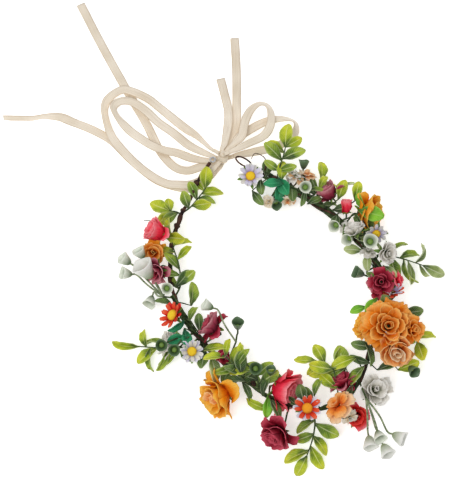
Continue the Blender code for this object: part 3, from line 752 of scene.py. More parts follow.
class Patterns:
    """The models that petals, leaves and cups are copied from, each in a few variants."""

    VARIANTS = 4
    # The leaves' widths as shares of their length, and how far they bend and twist, in degrees.
    LEAVES = ((0.54, 16, 14), (0.48, 38, -22), (0.58, -14, 26), (0.34, 50, -30), (0.46, 26, 8),
              (0.24, 74, 34), (0.27, 48, -40))

    def __init__(self) -> None:
        """Makes every model once."""
        self.rng = random.Random(SEED)
        self.petals = {cut: [self.petal(cut.value, i) for i in range(self.VARIANTS)] for cut in Cut}
        self.leaves = [self.leaf(i) for i in range(len(self.LEAVES))]
        self.bell = self.cup((0.24, 0.46, 0.68, 0.86, 1.0, 1.14), (0.0, 0.12, 0.34, 0.60, 0.82, 1.0), 3)
        self.dome = self.flock()
        self.calyx = self.cup((0.30, 0.75, 1.0, 1.1), (0.0, 0.25, 0.62, 1.0), 0)

    @staticmethod
    def store(obj: bpy.types.Object, name: str) -> bpy.types.Object:
        """Smooths a finished model and puts it out of sight.

        Args:
            obj: The model.
            name: Its name.

        Returns:
            The model.
        """
        Bench.only(obj)
        bpy.ops.object.shade_smooth()
        obj.name = name
        obj.hide_render = True
        bpy.context.scene.collection.objects.unlink(obj)
        return obj

    def blade(self, outline: Sequence[float], width: float) -> bpy.types.Object:
        """A flat upright blade of height 1, its foot at the origin.

        Args:
            outline: The share of the width at rows from foot to tip.
            width: At the widest.

        Returns:
            The blade.
        """
        rows = len(outline) - 1
        made = Bench.added(bpy.ops.mesh.primitive_grid_add, x_subdivisions=6, y_subdivisions=rows, size=1,
                           calc_uvs=True, location=(0, 0, 0.5), rotation=(math.pi / 2, 0, 0))
        Bench.settle(made)
        with Bench.editing(made):
            for row, share in enumerate(outline):
                height = row / rows
                Bench.select(made, lambda co, height=height: abs(co.z - height) < 0.01)
                size = width * share * self.rng.uniform(0.94, 1.06)
                bpy.ops.transform.resize(value=(size, 1, 1), center_override=(0, 0, height))
        return made

    def petal(self, cut: PetalCut, index: int) -> bpy.types.Object:
        """A standing petal: foot at the origin, +Z to its edge, its inner side towards +Y.

        Args:
            cut: How it is cut.
            index: Which variant.

        Returns:
            The stored model.
        """
        made = self.blade(cut.outline, cut.width)
        with Bench.editing(made):
            Bench.select(made, lambda co: co.z > 0.99 and abs(co.x) < 0.1)
            bpy.ops.transform.translate(value=(0, 0, -0.06 * (index % 2)))
            Bench.select(made, lambda co: co.z > 0.99 and abs(co.x) > 0.15 * cut.width)
            bpy.ops.transform.translate(value=(0, 0, -0.09))
        Bench.deform(made, "BEND", "Z", cut.wrap * self.rng.uniform(0.85, 1.15))
        Bench.deform(made, "BEND", "X", -cut.curl * self.rng.uniform(0.7, 1.3), limits=(0.42, 1.0))
        Bench.crumple(made, 1.6 * cut.crinkle, 0.38, 3.1 * index + 1.7)
        Bench.crumple(made, 0.8 * cut.crinkle, 0.16, 5.3 * index + 0.9)
        Bench.modify(made, "SOLIDIFY", thickness=cut.thickness, offset=0.0)
        return self.store(made, f"model_{cut.name}_{index}")

    def leaf(self, index: int) -> bpy.types.Object:
        """A leaf lying along +Z with its upper side towards -Y, creased at its mid-vein.

        Args:
            index: Which of the seven patterns.

        Returns:
            The stored model.
        """
        outline = ((0.14, 0.30, 0.56, 0.80, 0.95, 1.0, 0.97, 0.84, 0.60, 0.20),
                   (0.16, 0.40, 0.74, 0.94, 1.0, 0.98, 0.90, 0.76, 0.50, 0.12))[index % 2]
        width, bend, twist = self.LEAVES[index]
        made = self.blade(outline, width)
        with Bench.editing(made):
            Bench.select(made, lambda co: abs(co.x) < 0.01 and 0.02 < co.z < 0.98)
            bpy.ops.transform.translate(value=(0, 0.035, 0))
            Bench.select(made, lambda co: abs(co.x) > 0.26 * width)
            bpy.ops.transform.translate(value=(0, -0.02 - 0.01 * index, 0))
        Bench.deform(made, "BEND", "X", bend)
        Bench.deform(made, "TWIST", "Z", twist)
        Bench.crumple(made, 0.10, 0.45, 2.3 * index + 0.4)
        Bench.modify(made, "SOLIDIFY", thickness=0.03, offset=0.0)
        return self.store(made, f"model_leaf_{index}")

    def cup(self, radii: Sequence[float], heights: Sequence[float], teeth: int) -> bpy.types.Object:
        """A thin cup of radius 1 and height 1, standing on its foot.

        Args:
            radii: Of its rings, from the foot up.
            heights: Of the same rings.
            teeth: How many rim points are raised.

        Returns:
            The stored model.
        """
        made = Bench.added(bpy.ops.mesh.primitive_circle_add, vertices=12, radius=radii[0], fill_type="NGON")
        with Bench.editing(made):
            bpy.ops.mesh.select_all(action="SELECT")
            for (low, start), (high, stop) in pairwise(zip(radii, heights)):
                bpy.ops.mesh.extrude_region_move(TRANSFORM_OT_translate={"value": (0, 0, stop - start)})
                bpy.ops.transform.resize(value=(high / low, high / low, 1), center_override=(0, 0, 0))
            bpy.ops.mesh.delete(type="ONLY_FACE")
            if teeth:
                Bench.select(made, lambda co: co.z > 0.99 and math.cos(teeth * math.atan2(co.y, co.x)) > 0.5)
                bpy.ops.transform.translate(value=(0, 0, 0.16))
                bpy.ops.transform.resize(value=(1.14, 1.14, 1), center_override=(0, 0, 0))
            bpy.ops.mesh.select_all(action="SELECT")
            bpy.ops.mesh.normals_make_consistent(inside=False)
        Bench.modify(made, "SOLIDIFY", thickness=0.13, offset=-1.0)
        Bench.modify(made, "SUBSURF", levels=1, render_levels=1)
        Bench.paint_rise(made)
        return self.store(made, "model_cup")

    def flock(self) -> bpy.types.Object:
        """A low dome of flock, rough with grains."""
        made = Bench.added(bpy.ops.mesh.primitive_ico_sphere_add, subdivisions=4, radius=1)
        with Bench.editing(made):
            Bench.select(made, lambda co: co.z < 0)
            bpy.ops.transform.resize(value=(1, 1, 0.3), center_override=(0, 0, 0))
            Bench.select(made, lambda co: co.z > 0)
            bpy.ops.transform.resize(value=(1, 1, 0.62), center_override=(0, 0, 0))
        Bench.crumple(made, 0.34, 0.13, 0.6)
        Bench.paint_rise(made)
        return self.store(made, "model_flock")


# ------------------------------------------------------------------------------------------------- vine
@dataclass
class Vine:
    """The hoop: a bare bark arm at the left, then a bundle of taped stems round to the wire loop."""

    half_width: float = 74 * MM
    half_length: float = 104 * MM
    height: float = 13 * MM
    arm_end: float = 0.105
    hoop_end: float = 0.965
    stray: float = 0.12 * MM
    outline: tuple[tuple[float, float], ...] = (
        (-0.06, 1.00), (-0.28, 0.89), (-0.45, 0.77), (-0.62, 0.66), (-0.84, 0.44), (-0.97, 0.18),
        (-0.96, -0.08), (-0.85, -0.32), (-0.66, -0.58), (-0.40, -0.87), (-0.06, -0.99), (0.28, -0.95),
        (0.58, -0.74), (0.80, -0.62), (0.98, -0.36), (0.97, -0.07), (0.82, 0.23), (0.61, 0.48),
        (0.32, 0.76), (0.11, 0.97),
    )
    line: list[Vector] = field(default_factory=list)

    def __post_init__(self) -> None:
        """Lays out the centre-line, a point to each millimetre."""
        points = [(x * self.half_width, y * self.half_length, self.height) for x, y in self.outline]
        self.line = [Vector(point) for point in smooth_line(points, MM)]

    def point(self, station: float) -> Vector:
        """The centre-line's point at a share of its length."""
        return self.line[min(max(round(station * (len(self.line) - 1)), 0), len(self.line) - 1)].copy()

    def nearest(self, place: Vector) -> Vector:
        """The centre-line's nearest point."""
        return min(self.line, key=lambda point: (point - place).length_squared).copy()

    def strand(self, start: float, stop: float, offset: float, pitch: float, phase: float,
               rng: random.Random) -> list[Vector]:
        """The run of one stem that winds round the centre-line.

        Args:
            start: The station where it begins.
            stop: Where it ends.
            offset: Its distance from the centre-line.
            pitch: The length of one turn.
            phase: Where in a turn it begins, in radians.
            rng: The source of its straying.

        Returns:
            Points 3 mm apart.
        """
        first, last = round(start * (len(self.line) - 1)), round(stop * (len(self.line) - 1))
        points = []
        for i in range(first, last + 1, 3):
            along = (self.line[min(i + 2, len(self.line) - 1)] - self.line[max(i - 2, 0)]).normalized()
            out = along.cross(Vector((0, 0, 1)))
            turn = phase + 2 * math.pi * (i - first) * MM / pitch
            reach = offset + rng.uniform(-self.stray, self.stray)
            points.append(self.line[i] + (out * math.cos(turn) + Vector((0, 0, math.sin(turn)))) * reach)
        return points

    def bundle(self, name: str, start: float, stop: float,
               *stems: tuple[Finish, float, float, float, float]) -> bpy.types.Object:
        """Stems wound together.

        Args:
            name: The piece's name.
            start: The station where it begins.
            stop: Where it ends.
            stems: Each stem's finish, diameter, offset and pitch in millimetres, and phase in radians.

        Returns:
            The bundle as one piece.
        """
        rng = random.Random(name)
        pieces = []
        for index, (finish, diameter, offset, pitch, phase) in enumerate(stems):
            run = self.strand(start, stop, offset * MM, pitch * MM, phase, rng)
            width = diameter * MM
            stem = Bench.wire(run, [width * rng.uniform(0.86, 1.12) for _ in run], finish, 3)
            Bench.crumple(stem, 0.35 * width, 0.0035, 0.3 + 0.21 * index)
            pieces.append(stem)
        return Bench.join(pieces, name)

    def tendril(self, finish: Finish, width: float, *points: Point) -> bpy.types.Object:
        """A thin loose end; its points are in millimetres."""
        line = smooth_line([[c * MM for c in point] for point in points], 1.2 * MM)
        return Bench.wire(line, [width * (1.0 - 0.55 * i / len(line)) for i in range(len(line))], finish)

    def knots(self, *plans: tuple[float, float]) -> list[bpy.types.Object]:
        """Swellings where side shoots were cut off the bark.

        Args:
            plans: The station of each and its diameter in millimetres.

        Returns:
            The swellings.
        """
        pieces = []
        for station, diameter in plans:
            size = diameter * MM
            made = Bench.added(bpy.ops.mesh.primitive_ico_sphere_add, subdivisions=3, radius=size / 2,
                               location=self.point(station) + Vector((0, 0, 0.3 * size)))
            Bench.settle(made)
            Bench.dress(made, BROWN_BARK)
            Bench.crumple(made, 0.5 * size, 0.4 * size, station)
            bpy.ops.object.shade_smooth()
            pieces.append(made)
        return pieces

    def build(self) -> None:
        """Builds the arm, the hoop, the wire loop and the eyelet's finish."""
        arm = self.bundle("arm_bark", 0.011, self.arm_end + 0.006,
                          (BROWN_BARK, 2.7, 0.2, 60, 0.0), (RED_BARK, 1.4, 1.25, 26, 1.0))
        knots = self.knots((0.047, 4.4), (0.062, 3.9), (0.094, 3.8))
        hand_over(Bench.join([arm, *knots], "arm_bark"), "vine_arm")
        brown = self.bundle("hoop_bark", self.arm_end - 0.004, 0.25, (BROWN_BARK, 2.5, 0.5, 46, 0.5),
                            (RED_BARK, 1.7, 1.2, 32, 2.6), (GREEN_TAPE, 1.4, 1.4, 60, 4.6))
        hoop = self.bundle("hoop_stems", 0.235, self.hoop_end, (GREEN_TAPE, 2.3, 0.85, 46, 0.5),
                           (BROWN_BARK, 1.8, 1.1, 38, 2.6), (GREEN_TAPE, 1.9, 1.15, 30, 4.6))
        knots = self.knots((0.118, 4.6), (0.148, 4.2), (0.205, 4.4), (0.335, 4.6), (0.39, 4.4), (0.93, 4.4))
        tendrils = [
            self.tendril(GREEN_TAPE, 1.1 * MM, (-60, 58, 13), (-61, 66, 15), (-66, 72, 17), (-72, 75, 18)),
            self.tendril(RED_BARK, 1.0 * MM, (-30, -92, 14), (-38, -84, 19), (-33, -76, 21), (-27, -80, 20)),
            self.tendril(RED_BARK, 1.0 * MM, (24, 76, 14), (29, 86, 18), (24, 93, 19), (19, 90, 19)),
        ]
        thick = self.bundle("hoop_stems_right", 0.70, self.hoop_end - 0.01, (GREEN_TAPE, 1.7, 1.9, 52, 1.2),
                            (BROWN_BARK, 1.5, 1.8, 44, 3.9), (GREEN_TAPE, 1.4, 2.2, 70, 2.4),
                            (GREEN_TAPE, 1.3, 2.4, 58, 5.4), (STEM_WIRE, 1.2, 3.0, 90, 0.4),
                            (STEM_WIRE, 1.2, 3.2, 120, 2.2))
        left = self.bundle("hoop_stems_left", 0.22, 0.48, (GREEN_TAPE, 1.5, 1.7, 48, 0.2),
                           (GREEN_TAPE, 1.5, 1.7, 41, 3.2), (STEM_WIRE, 1.2, 2.8, 100, 1.4))
        whole = Bench.join([hoop, brown, thick, left, *knots, *tendrils], "hoop_stems")
        hand_over(whole, "vine_hoop")
        self.loop()
        Bench.dress(frame["nodes"]["eyelet_left"], EYELET)

    def loop(self) -> None:
        """The loop of doubled wire that the ribbon ties to."""
        low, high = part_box("wire_loop_right")
        middle = (low + high) / 2
        along = (self.point(1.0) - self.point(self.hoop_end)).normalized()
        side = along.cross(Vector((0, 0, 1)))
        pieces = []
        for shift, width in ((0.0, 1.25 * MM), (0.55 * MM, 0.9 * MM)):
            angles = [2 * math.pi * i / 36 - math.pi / 2 for i in range(37)]
            ring = [middle + along * (math.sin(angle) * 6.7 * MM) + side * (math.cos(angle) * 2.75 * MM)
                    + Vector((0, 0, shift * math.cos(2 * angle))) for angle in angles]
            pieces.append(Bench.wire(ring, width, BROWN_BARK, 3))
        hand_over(Bench.join(pieces, "loop_wire"), "wire_loop_right")


# ----------------------------------------------------------------------------------------------- ribbon
Stop = tuple[float, ...]


@dataclass(frozen=True)
class Strand:
    """One strand of the bow.

    Each stop of its route is (x, y) from the middle of the knot and z above the floor, in millimetres, then
    the degrees that it is turned from lying flat and its share of the full width, or 0 and 1 if left out.
    """

    name: str
    looped: bool
    route: tuple[Stop, ...]


STRANDS = (
    Strand("ribbon_tail_upper", False, (
        (-5, -1.5, 6, 0, 0.4), (-12, 0, 6, 0, 0.8), (-19, 1, 6), (-28, 2, 5.5), (-35, 8, 4), (-39, 18, 2.5),
        (-41, 29, 1.5), (-42, 50, 1), (-44, 67, 1), (-46, 84, 1), (-50, 124, 1), (-53, 165, 1))),
    Strand("ribbon_loop_left_outer", True, (
        (-3, 5, 12, 60, 0.4), (-6, 10, 10, 60, 0.5), (-12, 25, 8, 50, 0.9), (-18, 36, 6.5, 20, 1),
        (-28, 57, 5), (-34, 69, 4), (-43, 79, 4), (-49, 83, 4), (-57, 82, 4), (-64, 78, 4, 20, 1),
        (-68, 71, 4.5, 40, 1), (-70, 59, 4.5, 30, 1), (-70, 47, 4), (-65, 31, 3.5), (-60, 19, 3.5),
        (-53, 7, 3.5), (-46, -1, 3.5), (-39, -5, 4), (-30, -9, 5), (-19, -9, 7, 0, 0.9),
        (-10, -5.5, 9.5, 0, 0.6), (-4.5, -3, 10.5, 0, 0.4))),
    Strand("ribbon_loop_left_inner", True, (
        (-4.5, 2, 9, 0, 0.4), (-12, 10, 8.5, 0, 0.8), (-20, 20, 8), (-27, 34, 7.5), (-34, 46, 7),
        (-39, 58, 6.8), (-45, 68, 6.8), (-50, 72, 7), (-56, 73, 7.5), (-61, 70, 8, 40, 1),
        (-61, 62, 8, 40, 1), (-57, 49, 7), (-51, 39, 6), (-45, 31, 5), (-38, 24, 5), (-30, 18, 6),
        (-22, 10, 6.8), (-13, 4, 7.3, 0, 0.7), (-5, 0.5, 7.5, 0, 0.4))),
    Strand("ribbon_tail_lower", False, (
        (-4, -4, 4.5, 0, 0.4), (-10, -6, 3.5, 0, 0.8), (-18, -9, 2.5), (-29, -11, 1.6), (-39, -6, 1),
        (-52, 6, 1), (-63, 27, 1), (-67, 37, 1), (-72, 49, 1), (-82, 62, 1), (-93, 73, 1),
        (-101, 80, 2.2, 40, 1), (-112, 84, 4, 80, 1), (-121, 86, 4, 80, 1), (-130, 90, 3.5, 75, 0.9),
        (-141, 95, 3, 70, 0.8))),
    Strand("ribbon_tail_short_left", False, (
        (1, 5, 13.5, 0, 0.4), (6, 11, 11.5, 0, 0.8), (14, 25, 7), (19, 37, 4), (22, 52, 1.5), (24, 65, 1))),
    Strand("ribbon_tail_short_right", False, (
        (3, 4.5, 10, 0, 0.4), (8, 9, 8.5, 0, 0.8), (19, 22, 4), (28, 42, 1.3), (38, 67, 1), (47, 93, 1))),
    Strand("ribbon_loop_right_inner", True, (
        (4.5, 3, 13.5, 0, 0.4), (11, 6, 13.2, 0, 0.7), (19, 10, 12.5), (27, 22, 11), (36, 30, 9, 20, 1),
        (44, 31, 8.5, 40, 1), (48, 25, 8.5, 40, 1), (44, 13, 10.5, 20, 1), (35, 4, 13.5),
        (21, 1, 16.5, 0, 0.9), (11, 0, 16.8, 0, 0.7), (4.5, 0, 16, 0, 0.4))),
    Strand("ribbon_loop_right_outer", True, (
        (5, 2, 10.5, 0, 0.4), (10, 6, 9.5, 0, 0.7), (19, 12, 8.5), (39, 17, 5.5), (52, 16, 4.5, 20, 1),
        (61, 11, 4.5, 50, 1), (62, 5, 4.5, 50, 1), (56, -1, 5, 20, 1), (41, -5, 6), (24, -3, 6.5),
        (12, -1, 6.8, 0, 0.7), (5, -0.5, 7, 0, 0.4))),
)


@dataclass
class Bow:
    """The satin bow: a wound knot and eight flat strands."""

    width: float = 6.5 * MM
    thickness: float = 0.28 * MM
    step: float = 2.0 * MM

    def laid(self, line: Sequence[Sequence[float]]) -> bpy.types.Object:
        """A flat length of ribbon laid along a line.

        Args:
            line: (x, y, z, degrees turned from flat, share of the width) of its points, in metres.

        Returns:
            The ribbon.
        """
        length = self.length(line)
        guide = Bench.added(bpy.ops.curve.primitive_nurbs_path_add)
        guide.data.splines.clear()
        guide.data.twist_mode = "Z_UP"
        spline = guide.data.splines.new("POLY")
        spline.points.add(len(line) - 1)
        for point, (x, y, z, turn, share) in zip(spline.points, line):
            point.co = (x, y, z, 1)
            point.tilt = -math.radians(turn)
            point.radius = share
        made = Bench.added(bpy.ops.mesh.primitive_grid_add, x_subdivisions=len(line) - 1, y_subdivisions=6,
                           size=1, calc_uvs=True)
        made.scale = (length, self.width, 1)
        made.location = (length / 2, 0, 0)
        Bench.settle(made)
        with Bench.editing(made):
            Bench.select(made, lambda co: abs(co.y) > 0.42 * self.width)
            bpy.ops.transform.translate(value=(0, 0, -0.35 * MM))
        Bench.modify(made, "CURVE", object=guide, deform_axis="POS_X")
        bpy.data.objects.remove(guide)
        Bench.crumple(made, 0.7 * MM, 0.016, 20 * length)
        Bench.modify(made, "SOLIDIFY", thickness=self.thickness, offset=0.0)
        bpy.ops.object.shade_smooth()
        Bench.dress(made, SATIN)
        return made

    @staticmethod
    def length(line: Sequence[Sequence[float]]) -> float:
        """The length of a line of points."""
        return sum(math.dist(a[:3], b[:3]) for a, b in pairwise(line))

    def strand(self, plan: Strand, tie: Vector) -> None:
        """Args:
            plan: The strand.
            tie: The middle of the knot.
        """
        line = smooth_line(self.places(plan.route, tie), self.step)
        made = self.laid(line)
        made.name = plan.name.replace("ribbon", "satin")
        hand_over(made, plan.name)
        self.length(line)

    @staticmethod
    def places(route: Sequence[Stop], tie: Vector) -> list[Stop]:
        """A route's stops in metres in the crown's frame."""
        return [(tie.x + x * MM, tie.y + y * MM, z * MM, turn, share)
                for x, y, z, turn, share in ((*stop, 0, 1)[:5] for stop in route)]

    def gathers(self, tie: Vector) -> list[bpy.types.Object]:
        """The bunched starts of the strands, where the knot grips them.

        Args:
            tie: The middle of the knot.

        Returns:
            The gathers.
        """
        made = []
        for plan in STRANDS:
            ends = [plan.route[:2], plan.route[:-3:-1]][:1 + plan.looped]
            for first, second in ends:
                inner = (0.15 * first[0], 0.15 * first[1], first[2], first[3], 0.5)
                outer = tuple(0.55 * a + 0.45 * b for a, b in zip(first, second))
                places = self.places((inner, (*first[:4], 0.5), outer), tie)
                made.append(self.laid(smooth_line(places, 0.7 * MM)))
        return made

    def knot(self) -> None:
        """The knot: a gathered core with two turns of ribbon pulled tight round it."""
        low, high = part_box("ribbon_knot")
        middle, size = (low + high) / 2, (high - low) / 2
        core = Bench.added(bpy.ops.mesh.primitive_uv_sphere_add, segments=28, ring_count=18, radius=1)
        core.scale = (1.05 * size.x, 1.05 * size.y, 0.96 * size.z)
        core.location = middle
        Bench.settle(core)
        Bench.crumple(core, 1.6 * MM, 0.0032, 0.4)
        pieces = [core]
        for lift, lean, grow in ((-2.2 * MM, 12, 0.92), (1.8 * MM, -16, 1.0)):
            band = Bench.added(bpy.ops.mesh.primitive_cylinder_add, vertices=28, radius=1.2 * grow * size.x,
                               depth=5.2 * MM, end_fill_type="NOTHING")
            band.location = middle + Vector((0, 0, lift))
            band.rotation_euler = (math.radians(lean), math.radians(-0.6 * lean), 0)
            Bench.settle(band)
            with Bench.editing(band):
                bpy.ops.mesh.select_all(action="SELECT")
                bpy.ops.mesh.subdivide(number_cuts=2)
            Bench.crumple(band, 1.1 * MM, 0.004, 0.9 + lean)
            Bench.modify(band, "SOLIDIFY", thickness=0.5 * MM, offset=-1.0)
            pieces.append(band)
        made = Bench.join(pieces + self.gathers(middle), "satin_knot")
        Bench.dress(made, SATIN)
        bpy.ops.object.shade_smooth()
        hand_over(made, "ribbon_knot")

    def build(self) -> None:
        """Builds the strands, then the knot that holds them."""
        low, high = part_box("ribbon_knot")
        tie = (low + high) / 2
        for plan in STRANDS:
            self.strand(plan, tie)
        self.knot()


# ---------------------------------------------------------------------------------------------- flowers
@dataclass(frozen=True)
class Ring:
    """One ring of petals, in shares of the flower's radius and depth."""

    cut: Cut
    count: int
    length: float      # share of the radius
    radius: float      # of the ring's foot, share of the radius
    rise: float        # of the ring's foot, share of the depth
    opening: float     # degrees from standing up
    tone: int          # which of the flower's papers


class Style(Enum):
    """The flower patterns, from the heart outwards."""

    BIG_ROSE = (
        Ring(Cut.HEART, 3, 0.50, 0.05, 0.44, 6, 0), Ring(Cut.INNER, 4, 0.56, 0.14, 0.38, 12, 0),
        Ring(Cut.INNER, 5, 0.60, 0.24, 0.32, 22, 0), Ring(Cut.INNER, 6, 0.62, 0.33, 0.26, 32, 1),
        Ring(Cut.MIDDLE, 7, 0.66, 0.36, 0.20, 46, 1), Ring(Cut.MIDDLE, 8, 0.70, 0.38, 0.14, 60, 2),
        Ring(Cut.OUTER, 8, 0.74, 0.34, 0.10, 76, 2))
    ROSE = (
        Ring(Cut.HEART, 2, 0.58, 0.07, 0.34, 4, 0), Ring(Cut.INNER, 3, 0.68, 0.16, 0.26, 14, 0),
        Ring(Cut.INNER, 4, 0.74, 0.24, 0.22, 26, 1), Ring(Cut.MIDDLE, 5, 0.80, 0.24, 0.16, 42, 1),
        Ring(Cut.OUTER, 5, 0.84, 0.20, 0.12, 64, 2))
    SPIRAL = (
        Ring(Cut.HEART, 2, 0.56, 0.07, 0.36, 4, 0), Ring(Cut.WRAP, 2, 0.64, 0.15, 0.30, 10, 0),
        Ring(Cut.WRAP, 3, 0.72, 0.22, 0.24, 18, 1), Ring(Cut.WRAP, 3, 0.80, 0.28, 0.18, 30, 1),
        Ring(Cut.WRAP, 4, 0.84, 0.28, 0.12, 48, 2))
    CUPPED = (
        Ring(Cut.HEART, 2, 0.82, 0.08, 0.26, 3, 0), Ring(Cut.WRAP, 2, 0.95, 0.16, 0.20, 7, 0),
        Ring(Cut.WRAP, 3, 1.05, 0.26, 0.14, 14, 1), Ring(Cut.WRAP, 4, 1.10, 0.32, 0.09, 24, 1),
        Ring(Cut.MIDDLE, 4, 1.06, 0.30, 0.06, 38, 2))
    GLOBE = (
        Ring(Cut.HEART, 2, 0.95, 0.10, 0.24, 2, 0), Ring(Cut.WRAP, 2, 1.10, 0.22, 0.16, 2, 0),
        Ring(Cut.WRAP, 3, 1.22, 0.36, 0.10, 6, 1), Ring(Cut.WRAP, 3, 1.28, 0.46, 0.05, 12, 2),
        Ring(Cut.MIDDLE, 2, 1.10, 0.46, 0.04, 30, 2))
    OPEN = (
        Ring(Cut.INNER, 3, 0.50, 0.08, 0.30, 24, 0), Ring(Cut.FLAT, 5, 0.82, 0.14, 0.22, 56, 1),
        Ring(Cut.FLAT, 6, 0.92, 0.12, 0.14, 78, 2))
    DAISY = (Ring(Cut.STRAP, 9, 0.76, 0.22, 0.52, 74, 0), Ring(Cut.STRAP, 9, 0.80, 0.20, 0.44, 86, 1))
    BUD = (Ring(Cut.HEART, 2, 1.7, 0.10, 0.10, 2, 0), Ring(Cut.INNER, 3, 1.8, 0.30, 0.06, 4, 0))


@dataclass(frozen=True)
class Bloom:
    """A flower on its wire."""

    node: str
    style: Style
    papers: tuple[Paper, ...]  # from the heart outwards; the last one goes on
    diameter: float            # millimetres
    depth: float               # millimetres
    lean: float                # degrees from facing up
    faces: float               # degrees round from +X
    slot: str
    sepals: Finish = SEPAL
    flock: Finish | None = None
    grow: float = 1.0          # petals larger than the plain head
    shift: Point = (0, 0, 0)   # millimetres, of the petals from the plain head
    lobe: Point | None = None  # millimetres, of a smaller second heart from the first


BLOOMS = (
    Bloom("rose_white_front", Style.SPIRAL, (WHITE,), 24, 14.9, 14, -42, "petal_white",
          grow=1.04, shift=(3, 3, 6)),
    Bloom("rose_orange_left", Style.CUPPED, (APRICOT, GOLD), 24, 14.9, 72, 193, "petal_orange",
          grow=1.3, shift=(-3, -1, 3)),
    Bloom("rose_pink_left", Style.GLOBE, (PINK,), 17, 12.8, 60, 138, "petal_pink",
          grow=1.2, shift=(3, -2, 9)),
    Bloom("rose_orange_right", Style.CUPPED, (GOLD,), 24, 14.9, 70, -32, "petal_orange", LIME,
          grow=1.15, shift=(1, 0, 2)),
    Bloom("rose_white_left", Style.CUPPED, (WHITE,), 17, 12.8, 70, 148, "petal_white", EMERALD,
          grow=1.1, shift=(-3, -3, 2)),
    Bloom("rose_orange_big", Style.BIG_ROSE, (BIG_ORANGE,), 37, 20.4, 12, -112, "petal_orange",
          grow=1.04, shift=(-1.5, -1, 1), lobe=(12.5, -8, 2)),
    Bloom("rose_orange_side", Style.CUPPED, (GOLD,), 17, 12.8, 50, 158, "petal_orange",
          grow=1.1, shift=(7, -0.5, 3)),
    Bloom("rose_peach", Style.GLOBE, (PEACH, APRICOT), 24, 14.9, 44, -100, "petal_peach",
          grow=0.95, shift=(-2, 5, 7)),
    Bloom("rose_red_front", Style.CUPPED, (RED, RED, PINK), 17, 12.8, 20, -112, "petal_red",
          grow=0.95, shift=(2, 1, 0)),
    Bloom("flower_peach_front", Style.OPEN, (APRICOT, APRICOT, PEACH), 17, 12.8, 50, 128, "petal_peach",
          grow=1.45, shift=(-3, -2, 2)),
    Bloom("rose_burgundy_inner", Style.CUPPED, (BURGUNDY, BURGUNDY, MAUVE), 17, 12.8, 60, 100,
          "petal_burgundy"),
    Bloom("daisy_red_front", Style.DAISY, (CORAL, LAVENDER), 17, 7.1, 10, -112, "petal_red",
          SEPAL, FLOCK_ORANGE, grow=1.25),
    Bloom("rose_pink_front", Style.GLOBE, (PINK,), 24, 14.9, 72, -46, "petal_pink",
          grow=1.05, shift=(-1, 3, 1)),
    Bloom("rose_burgundy_hanging", Style.CUPPED, (BURGUNDY,), 24, 14.9, 75, 213, "petal_burgundy",
          shift=(0, 2, 0)),
    Bloom("daisy_white_left", Style.DAISY, (WHITE, LAVENDER), 17, 7.1, 15, -112, "petal_white", SEPAL,
          FLOCK,
          grow=1.1),
    Bloom("rose_mauve_left", Style.CUPPED, (BURGUNDY, MAUVE, BURGUNDY), 17, 12.8, 66, 128, "petal_mauve",
          grow=1.2, shift=(-4, 3, 0)),
    Bloom("daisy_orange_left", Style.DAISY, (CORAL, RED), 17, 7.1, 42, 148, "petal_red", SEPAL, FLOCK,
          grow=1.3, shift=(1, -1, 1)),
    Bloom("rose_orange_small", Style.CUPPED, (BIG_ORANGE, BIG_ORANGE, GOLD), 17, 12.8, 25, -112,
          "petal_orange",
          grow=0.98, shift=(1, -1, 0)),
    Bloom("rose_mauve_side", Style.CUPPED, (BURGUNDY, MAUVE), 17, 12.8, 60, -150, "petal_mauve"),
    Bloom("daisy_white_back", Style.DAISY, (LAVENDER, WHITE), 17, 7.1, 8, -112, "petal_white", SEPAL, FLOCK,
          grow=1.15),
    Bloom("rose_white_back", Style.OPEN, (CREAM, WHITE, PEACH), 17, 12.8, 60, 38, "petal_white",
          grow=1.1, shift=(3, -2, 2)),
    Bloom("flower_green_back", Style.OPEN, (JADE,), 17, 12.8, 60, -135, "petal_white", EMERALD,
          grow=0.9, shift=(1, 2, 2)),
    Bloom("rose_mauve_right", Style.GLOBE, (MAUVE,), 17, 12.8, 66, 110, "petal_mauve",
          grow=1.05, shift=(-1, 0, 0)),
    Bloom("bud_pink_right", Style.BUD, (PINK,), 5.5, 6.1, 60, 68, "petal_pink",
          grow=2.1, shift=(-2, -4, 1)),
    Bloom("rose_white_right", Style.SPIRAL, (WHITE,), 17, 12.8, 55, 100, "petal_white",
          grow=1.1, shift=(10, 2, 3)),
    Bloom("daisy_blue_right", Style.DAISY, (LAVENDER, WHITE), 17, 7.1, 50, -112, "petal_white", SEPAL,
          FLOCK),
    Bloom("rose_white_outer", Style.SPIRAL, (WHITE,), 17, 12.8, 40, -60, "petal_white",
          grow=1.05, shift=(-3, -3, 2)),
    Bloom("rose_burgundy_right", Style.ROSE, (BURGUNDY, BURGUNDY, MAUVE), 17, 12.8, 20, -112,
          "petal_burgundy",
          grow=1.2),
    Bloom("rose_pink_right", Style.OPEN, (PINK, PINK, PEACH), 17, 12.8, 60, -20, "petal_pink",
          grow=1.05, shift=(-4, 2, 4)),
)


def small(x: float, y: float, z: float, lean: float, faces: float, papers: tuple[Paper, ...],
          diameter: float, depth: float, slot: str, style: Style = Style.OPEN) -> Bloom:
    """A loose flower that stands for no CAD node; its shift is its place, in millimetres."""
    return Bloom("", style, papers, diameter, depth, lean, faces, slot, shift=(x, y, z))


